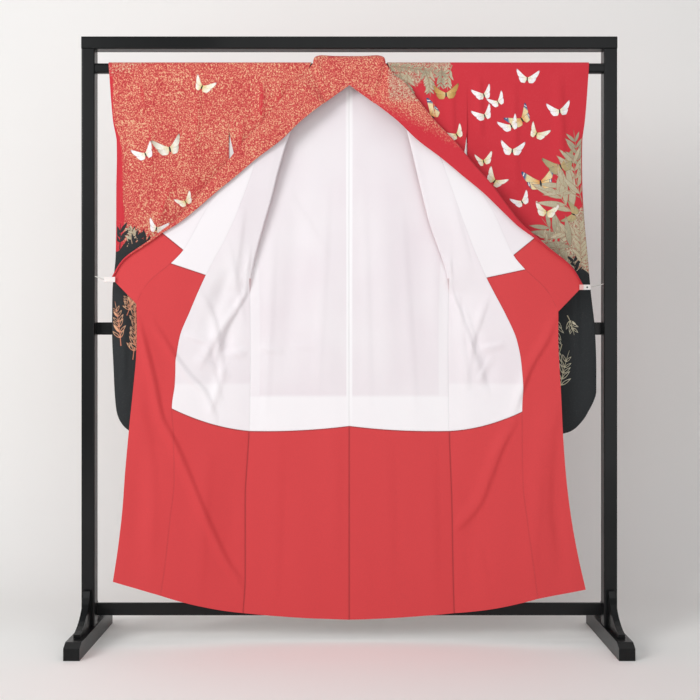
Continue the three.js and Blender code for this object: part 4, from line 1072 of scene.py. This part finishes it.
def spray(x, z, heading, length, pairs, leaf, bend, kind):
    """A bent stem with pairs of pointed leaves: each leaf is a lens whose half-width is a sine of its
    length."""
    t = np.linspace(0, 1, 2 * pairs + 6)
    angle = np.radians(heading + bend * t)
    step_by = length / (len(t) - 1)
    stem = np.array((x, z)) + np.cumsum(np.stack([np.sin(angle), np.cos(angle)], -1) * step_by, axis=0)
    side = np.stack([np.cos(angle), -np.sin(angle)], -1)
    thick = (1.5 - 0.9 * t)[:, None]
    patches = [ruled(stem - side * thick, stem + side * thick, len(t), (0, 0.5, 1), kind)]
    along = np.linspace(0, 1, 7)
    for pair in range(pairs):
        i = 3 + 2 * pair
        for way in (-1, 1):
            # Leaves get shorter up the stem and stand off it by about 38 degrees, no two quite alike.
            size = leaf * (1 - 0.35 * pair / pairs) * (1 + 0.12 * np.sin(7.3 * pair + way))
            out = angle[i] + way * np.radians(38 + 9 * np.sin(3.7 * pair + 2 * way))
            run = np.array((np.sin(out), np.cos(out)))
            cross = np.array((np.cos(out), -np.sin(out)))
            middle = stem[i] + along[:, None] * size * run
            half = ((0.09 * size + 1.3) * np.sin(np.pi * along**0.8) + 0.25)[:, None] * cross
            patches.append(ruled(middle - half, middle + half, 7, (0, 0.12, 0.5, 0.88, 1), kind))
            if kind in ("coral", "bone"):
                core = stem[i] + (0.16 + 0.68 * along[:, None]) * size * run
                patches.append(ruled(core - 0.6 * half, core + 0.6 * half, 7, (0, 0.5, 1), "ink"))
    return patches


def face_of(name, part, cloth):
    """The outward face that a part's print lies on: its grid and the way it faces."""
    if part == "sleeve":
        return sleeve_face(name, "front", cloth)[0], -1
    if part == "front":
        upper = spaced(WIDTHS["upper"], cloth.gap)
        rows = front_rows(name, upper, EDGES)[0]
        return upper_face(name, upper, finer(rows, cloth.gap)), -1
    if part == "skirt":
        return flat_face(name, cloth)[2], 1
    return (back_face if part == "back" else overlap_face)(name, cloth)[0], 1


# How far within a panel's edges the paint stays, in millimetres.
INSET = 2


def lie_on(grid, x, z):
    """Points at x and z laid on a grid, kept INSET mm within it: bilinear between rows, each level or
    nearly so; a row's height is taken at its start and corrected three times by how far it rises from
    there."""
    level = z
    spread = (grid[-1, :, 0] - grid[-1, 0, 0]) / (grid[-1, -1, 0] - grid[-1, 0, 0])
    for _ in range(4):
        level = np.clip(level, grid[-1, 0, 2] + INSET, grid[0, 0, 2])
        row = np.interp(-level, -grid[:, 0, 2], np.arange(len(grid)))
        r = np.clip(row.astype(int), 0, len(grid) - 2)
        f = (row - r)[:, None]
        ends = mix(grid[r, :][:, [0, -1], 0], grid[r + 1, :][:, [0, -1], 0], f)
        x = np.clip(x, ends.min(axis=1) + INSET, ends.max(axis=1) - INSET)
        share = (x - ends[:, 0]) / (ends[:, 1] - ends[:, 0])
        column = np.interp(share, spread, np.arange(grid.shape[1]))
        c = np.clip(column.astype(int), 0, grid.shape[1] - 2)
        g = (column - c)[:, None]
        at = mix(mix(grid[r, c], grid[r, c + 1], g), mix(grid[r + 1, c], grid[r + 1, c + 1], g), f)
        level = z - (at[:, 2] - level)
    return x, at[:, 1], at[:, 2]


def paint_on(name, part, patches, cloth):
    """Lay flat patches on a face of the cloth, each a little prouder than the one before, as one mesh."""
    grid, way = face_of(name, part, cloth)
    sign = SIDES[name]["sign"]
    points, faces, paint, count = [], [], [], 0
    for number, (flat, shade) in enumerate(patches):
        x, y, z = lie_on(grid, flat[..., 0].ravel(), flat[..., 1].ravel())
        y += way * (OUTER[1] + PROUD + PROUD_STEP * (number % PROUD_COUNT))
        points.append(np.stack([sign * x, y, z], -1))
        rows, columns = flat.shape[:2]
        faces.append(quads_of(np.arange(rows * columns).reshape(rows, columns) + count))
        paint.append(np.broadcast_to(shade, flat.shape[:2] + (4,)).reshape(-1, 4))
        count += rows * columns
    points, faces, paint = np.concatenate(points), np.concatenate(faces), np.concatenate(paint)
    # Patches that face inwards are turned.
    a, b, d = (points[faces[:, i]] for i in (0, 1, 3))
    turned = np.cross(b - a, d - a)[:, 1] * way < 0
    faces[turned] = faces[turned][:, ::-1]
    piece = add_mesh(f"print_{part}_{name}", points, faces, painted_dye(), {"paint": paint})


# ---- properties --------------------------------------------------------------------------------------------
class FurisodeCloth(bpy.types.PropertyGroup):
    """Colours and grain of the silk."""
    ground: FloatVectorProperty(name="Ground", description="Red of the outer silk", subtype="COLOR",
                                default=linear("#CB2B38")[:3])
    lining: FloatVectorProperty(name="Lining", description="Red of the lower lining", subtype="COLOR",
                                default=linear("#DE4447")[:3])
    dust_grain: FloatProperty(name="Dust clumps", description="Size of a clump of gold dust in millimetres",
                              default=3.8, min=2, max=20)
    gap: FloatProperty(name="Mesh spacing", description="Distance between points of the cloth in millimetres",
                       default=5.5, min=4, max=30)
    ripple: FloatProperty(name="Ripple", description="Depth of the cloth's slow unevenness in millimetres",
                          default=1.6, min=0, max=6)


class FurisodeStand(bpy.types.PropertyGroup):
    """Finish of the stand."""
    lacquer: FloatVectorProperty(name="Lacquer", description="Colour of the lacquer", subtype="COLOR",
                                 default=linear("#08090A")[:3])


class FurisodeStage(bpy.types.PropertyGroup):
    """Room, light and camera."""
    backdrop: FloatVectorProperty(name="Backdrop", description="Colour of floor and wall", subtype="COLOR",
                                  default=linear("#FAF9F7")[:3])
    power: FloatProperty(
        name="Light", description="Power of the main light", unit="POWER", default=100.0, min=0)
    distance: FloatProperty(
        name="Camera distance", description="From the cloth", unit="LENGTH", default=3.225)
    height: FloatProperty(name="Camera height", description="Above the floor", unit="LENGTH", default=0.836)
    lens: FloatProperty(name="Lens", description="Focal length", unit="CAMERA", default=57.7)


# ---- operators ---------------------------------------------------------------------------------------------
class AddBacks(bpy.types.Operator):
    """Hang the two back panels over the rod, with their white and red linings"""
    bl_idname = "furisode.add_backs"
    bl_label = "Add back panels"

    def execute(self, context):
        cloth = context.scene.furisode_cloth
        change = OVER_ROWS + BODY_CHANGE
        for name in SIDES:
            grid, at = back_face(name, cloth)
            # Over the rod the cloth is cut away at the neck.
            neck = spaced(WIDTHS["back"], cloth.gap) <= NECK_SHARE
            cells = ~((at[:-1, None] < OVER_ROWS - 1) & neck[None, 1:])
            add_outer("back", name, "back", grid, cells)
            white, red = grid[(at >= OVER_ROWS - 1) & (at <= change)], grid[at >= change]
            add_lining("back_lining", name, white, ends=(0, 1),
                       double=doubled(white, TURN_UP["back"]))
            add_lining("back_hem_lining", name, red, ends=(DEEP_SEAM_AND_SHADE, 0))
        return {"FINISHED"}


class AddFronts(bpy.types.Operator):
    """Turn the two front panels back on their creases, with their white and red linings"""
    bl_idname = "furisode.add_fronts"
    bl_label = "Add front panels"

    def execute(self, context):
        cloth = context.scene.furisode_cloth
        upper, change = spaced(WIDTHS["upper"], cloth.gap), OVER_ROWS + BODY_CHANGE
        last_turned = OVER_ROWS + LAST_TURNED
        for name in SIDES:
            at, turned, last = flat_face(name, cloth)
            first = upper_face(name, upper, at)
            grid = np.concatenate([first, turned, last], axis=1)
            start = first.shape[1] + turned.shape[1]
            columns = np.arange(grid.shape[1] - 1)[None]
            row = at[:-1, None]
            lower = (row >= OVER_ROWS) & (row < last_turned)
            cells = np.where(columns < len(upper) - 1, row < last_turned,
                             np.where(columns < start, lower, row >= OVER_ROWS))
            add_outer("front", name, "front", grid, cells)
            # The white lining goes round the crease with the outer cloth.
            whole = np.concatenate([turned, last], axis=1)
            rows = (at >= OVER_ROWS) & (at <= change)
            white, lined = whole[rows], np.arange(whole.shape[1] - 1)[None] >= turned.shape[1]
            cells = lined | (at[rows][:-1, None] < last_turned)
            add_lining("front_lining", name, white, sides=(0, 0.4),
                       double=0.6 * doubled(white, TURN_UP["front"], False), cells=cells)
            add_lining("front_hem_lining", name, last[at >= change], sides=(1, 0.3),
                       ends=(DEEP_SEAM_AND_SHADE, 0))
        return {"FINISHED"}


class AddOverlaps(bpy.types.Operator):
    """Sew the overlap panels to the fronts, with their linings"""
    bl_idname = "furisode.add_overlaps"
    bl_label = "Add overlap panels"

    def execute(self, context):
        change = OVERLAP_CHANGE - TIP
        for name in SIDES:
            grid, at = overlap_face(name, context.scene.furisode_cloth)
            add_outer("okumi", name, "okumi", grid)
            add_lining("okumi_lining", name, grid[at <= change], sides=(0.4, 0.4), double=0.5)
            add_lining("okumi_hem_lining", name, grid[at >= change], sides=(0.3, 0),
                       ends=(DEEP_SEAM_AND_SHADE, 0))
        return {"FINISHED"}


class AddCollars(bpy.types.Operator):
    """Sew the folded collar band on, with its linings"""
    bl_idname = "furisode.add_collars"
    bl_label = "Add collar"

    def execute(self, context):
        start, change = len(NECK) + TIP, len(NECK) + COLLAR_CHANGE
        # Columns out along the band, round its fold and back in again.
        c = np.concatenate([2 * spaced(60, 6)[:-1], np.linspace(2, 4, 9)[:-1],
                            4 + 2 * spaced(50, 6, (1, 2, 3))])
        # The white lining ends before the band's fold; the red one goes halfway round it.
        lined, folded = c <= 2.0001, c <= 3.0001
        for name in SIDES:
            rows = collar_rows(name, c)
            at = np.unique(np.concatenate([finer(rows, context.scene.furisode_cloth.gap),
                                           change + NEAR_SEAM]))
            grid = curve(np.arange(len(rows)), rows, at)
            add_outer("collar", name, "collar", grid)
            white, red = grid[:, lined][(at >= start) & (at <= change)], grid[:, folded][at >= change]
            add_lining("collar_lining", name, white, sides=(0.5, 0), double=0.2)
            add_lining("collar_end_lining", name, red, sides=(0.4, 0), ends=(DEEP_SEAM_AND_SHADE, 0))
        return {"FINISHED"}


class AddSleeves(bpy.types.Operator):
    """Hang the two sleeves: front and back leaf of each bag, and the lining at the arm slit"""
    bl_idname = "furisode.add_sleeves"
    bl_label = "Add sleeves"

    def execute(self, context):
        cloth = context.scene.furisode_cloth
        slit = spaced(WIDTHS["sleeve"], cloth.gap) <= SLIT_SHARE
        for name in SIDES:
            for leaf in ("front", "back"):
                grid, at = sleeve_face(name, leaf, cloth)
                placed = grid[::-1] if leaf == "front" else grid
                add_outer(f"sleeve_{leaf}", name, "sleeve", placed)
            inner = grid[(at >= OVER_ROWS + SLIT_ROWS[0]) & (at <= OVER_ROWS + SLIT_ROWS[1])][:, slit]
            add_lining("sleeve_lining", name, inner, sides=(0, 0), ends=(0, 0))
        return {"FINISHED"}


class AddPrint(bpy.types.Operator):
    """Paint butterflies and leaf sprays on sleeves, fronts and backs"""
    bl_idname = "furisode.add_print"
    bl_label = "Add print"

    def execute(self, context):
        for name in SIDES:
            for part in ("sleeve", "front", "back", "skirt", "overlap"):
                patches = [patch for motif, table in ((spray, SPRAYS), (butterfly, BUTTERFLIES))
                           for row in table.get((name, part), ()) for patch in motif(*row)]
                if patches:
                    paint_on(name, part, patches, context.scene.furisode_cloth)
        return {"FINISHED"}


def finish_nodes(slot, material):
    """Give a material to the frame's own solids of one slot."""
    nodes = [part["node"] for part in frame["record"]["subparts"] if part["material_slot"] == slot]
    for node in nodes:
        mesh = frame["nodes"][node].data
        mesh.materials.clear()
        mesh.materials.append(material)
    if not nodes:
        raise RuntimeError(f"no solid has the slot {slot}")


class AddStand(bpy.types.Operator):
    """Lacquer the stand's rails, posts, feet and braces"""
    bl_idname = "furisode.add_stand"
    bl_label = "Finish stand"

    def execute(self, context):
        finish_nodes("lacquer", black_lacquer())
        return {"FINISHED"}


class AddClips(bpy.types.Operator):
    """Finish the two clips and their strings"""
    bl_idname = "furisode.add_clips"
    bl_label = "Finish clips"

    def execute(self, context):
        finish_nodes("clip", moulded_plastic())
        finish_nodes("string", twisted_cotton())
        return {"FINISHED"}


# The paper in millimetres: how far it comes forward, radius of its sweep, height of the wall and half-width;
# then where a floor behind it starts and ends.
PAPER = {"front": -6000, "sweep": 500, "top": 5000, "half": 8000}
BEHIND = (500, 8000)
# Lamps: name, place and aim in metres, side of the square in metres, share of the main light's power.
LAMPS = (("main", (-3.0, -3.3, 2.3), (0, 0, 0.9), 1.9, 1.0),
         ("fill", (0.8, -4.4, 1.5), (0, 0, 0.85), 3.4, 0.43),
         ("top", (0.3, -1.2, 3.7), (0, 0.3, 0.5), 2.2, 0.22))
ROOM = {"Color": linear("#F3F4F6"), "Strength": 0.27}
CAMERA_X = 0.002


def aimed(place, target):
    """Turn that points an object's -Z axis from a place at a target."""
    away = np.array(place, float) - np.array(target, float)
    flat = np.hypot(away[0], away[1])
    return (float(np.arctan2(flat, away[2])), 0.0, float(np.arctan2(away[0], -away[1])))


class AddStage(bpy.types.Operator):
    """Set up floor, wall, soft light and camera"""
    bl_idname = "furisode.add_stage"
    bl_label = "Add stage"

    def execute(self, context):
        scene, stage = context.scene, context.scene.furisode_stage
        # Floor, quarter-circle sweep, then wall: a profile drawn along X.
        turn, sweep = np.linspace(0, np.pi / 2, 17), PAPER["sweep"]
        profile = (np.concatenate([[PAPER["front"]], sweep + sweep * np.sin(turn), [2 * sweep]]),
                   np.concatenate([[0], sweep - sweep * np.cos(turn), [PAPER["top"]]]))
        for name, (y, z) in (("backdrop", profile), ("floor_behind", (np.array(BEHIND), np.array((-1, -1))))):
            grid = stack(np.linspace(-PAPER["half"], PAPER["half"], 5)[None], y[:, None], z[:, None])
            number = np.arange(grid.shape[0] * 5).reshape(-1, 5)
            mesh = bpy.data.meshes.new(name)
            mesh.from_pydata((grid.reshape(-1, 3) * MM).tolist(), [], quads_of(number).tolist())
            mesh.shade_smooth()
            mesh.materials.append(studio_paper())
            sheet = bpy.data.objects.new(name, mesh)
            scene.collection.objects.link(sheet)
        for name, place, aim, size, share in LAMPS:
            light = bpy.data.lights.new(name, "AREA")
            light.shape, light.size, light.energy = "SQUARE", size, stage.power * share
            lamp = bpy.data.objects.new(name, light)
            lamp.location, lamp.rotation_euler = place, aimed(place, aim)
            scene.collection.objects.link(lamp)
        world = bpy.data.worlds.new("soft room")
        world.use_nodes = True
        feed(world.node_tree, world.node_tree.nodes["Background"], ROOM)
        scene.world = world
        camera = bpy.data.cameras.new("camera")
        camera.lens = stage.lens
        view = bpy.data.objects.new("camera", camera)
        view.location = (CAMERA_X, -stage.distance, stage.height)
        view.rotation_euler = (np.pi / 2, 0, 0)
        scene.collection.objects.link(view)
        scene.camera = view
        scene.view_settings.view_transform = "Standard"
        return {"FINISHED"}


OPERATORS = (AddBacks, AddFronts, AddOverlaps, AddCollars, AddSleeves, AddPrint, AddStand, AddClips, AddStage)


class FurisodePanel(bpy.types.Panel):
    """Sizes, colours and building steps of the furisode"""
    bl_idname = "VIEW3D_PT_furisode"
    bl_label = "Furisode"
    bl_space_type = "VIEW_3D"
    bl_region_type = "UI"
    bl_category = "Furisode"

    def draw(self, context):
        for group in (context.scene.furisode_cloth, context.scene.furisode_stand,
                      context.scene.furisode_stage):
            for key in group.bl_rna.properties.keys():
                if key not in ("rna_type", "name"):
                    self.layout.prop(group, key)
        for operator in OPERATORS:
            self.layout.operator(operator.bl_idname)


CLASSES = (FurisodeCloth, FurisodeStand, FurisodeStage, *OPERATORS, FurisodePanel)


def register():
    for item in CLASSES:
        bpy.utils.register_class(item)
    bpy.types.Scene.furisode_cloth = PointerProperty(type=FurisodeCloth)
    bpy.types.Scene.furisode_stand = PointerProperty(type=FurisodeStand)
    bpy.types.Scene.furisode_stage = PointerProperty(type=FurisodeStage)


def unregister():
    del bpy.types.Scene.furisode_stage
    del bpy.types.Scene.furisode_stand
    del bpy.types.Scene.furisode_cloth
    for item in reversed(CLASSES):
        bpy.utils.unregister_class(item)


def main():
    register()
    for operator in OPERATORS:
        group, name = operator.bl_idname.split(".")
        getattr(getattr(bpy.ops, group), name)()
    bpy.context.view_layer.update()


if __name__ == "__main__":
    main()
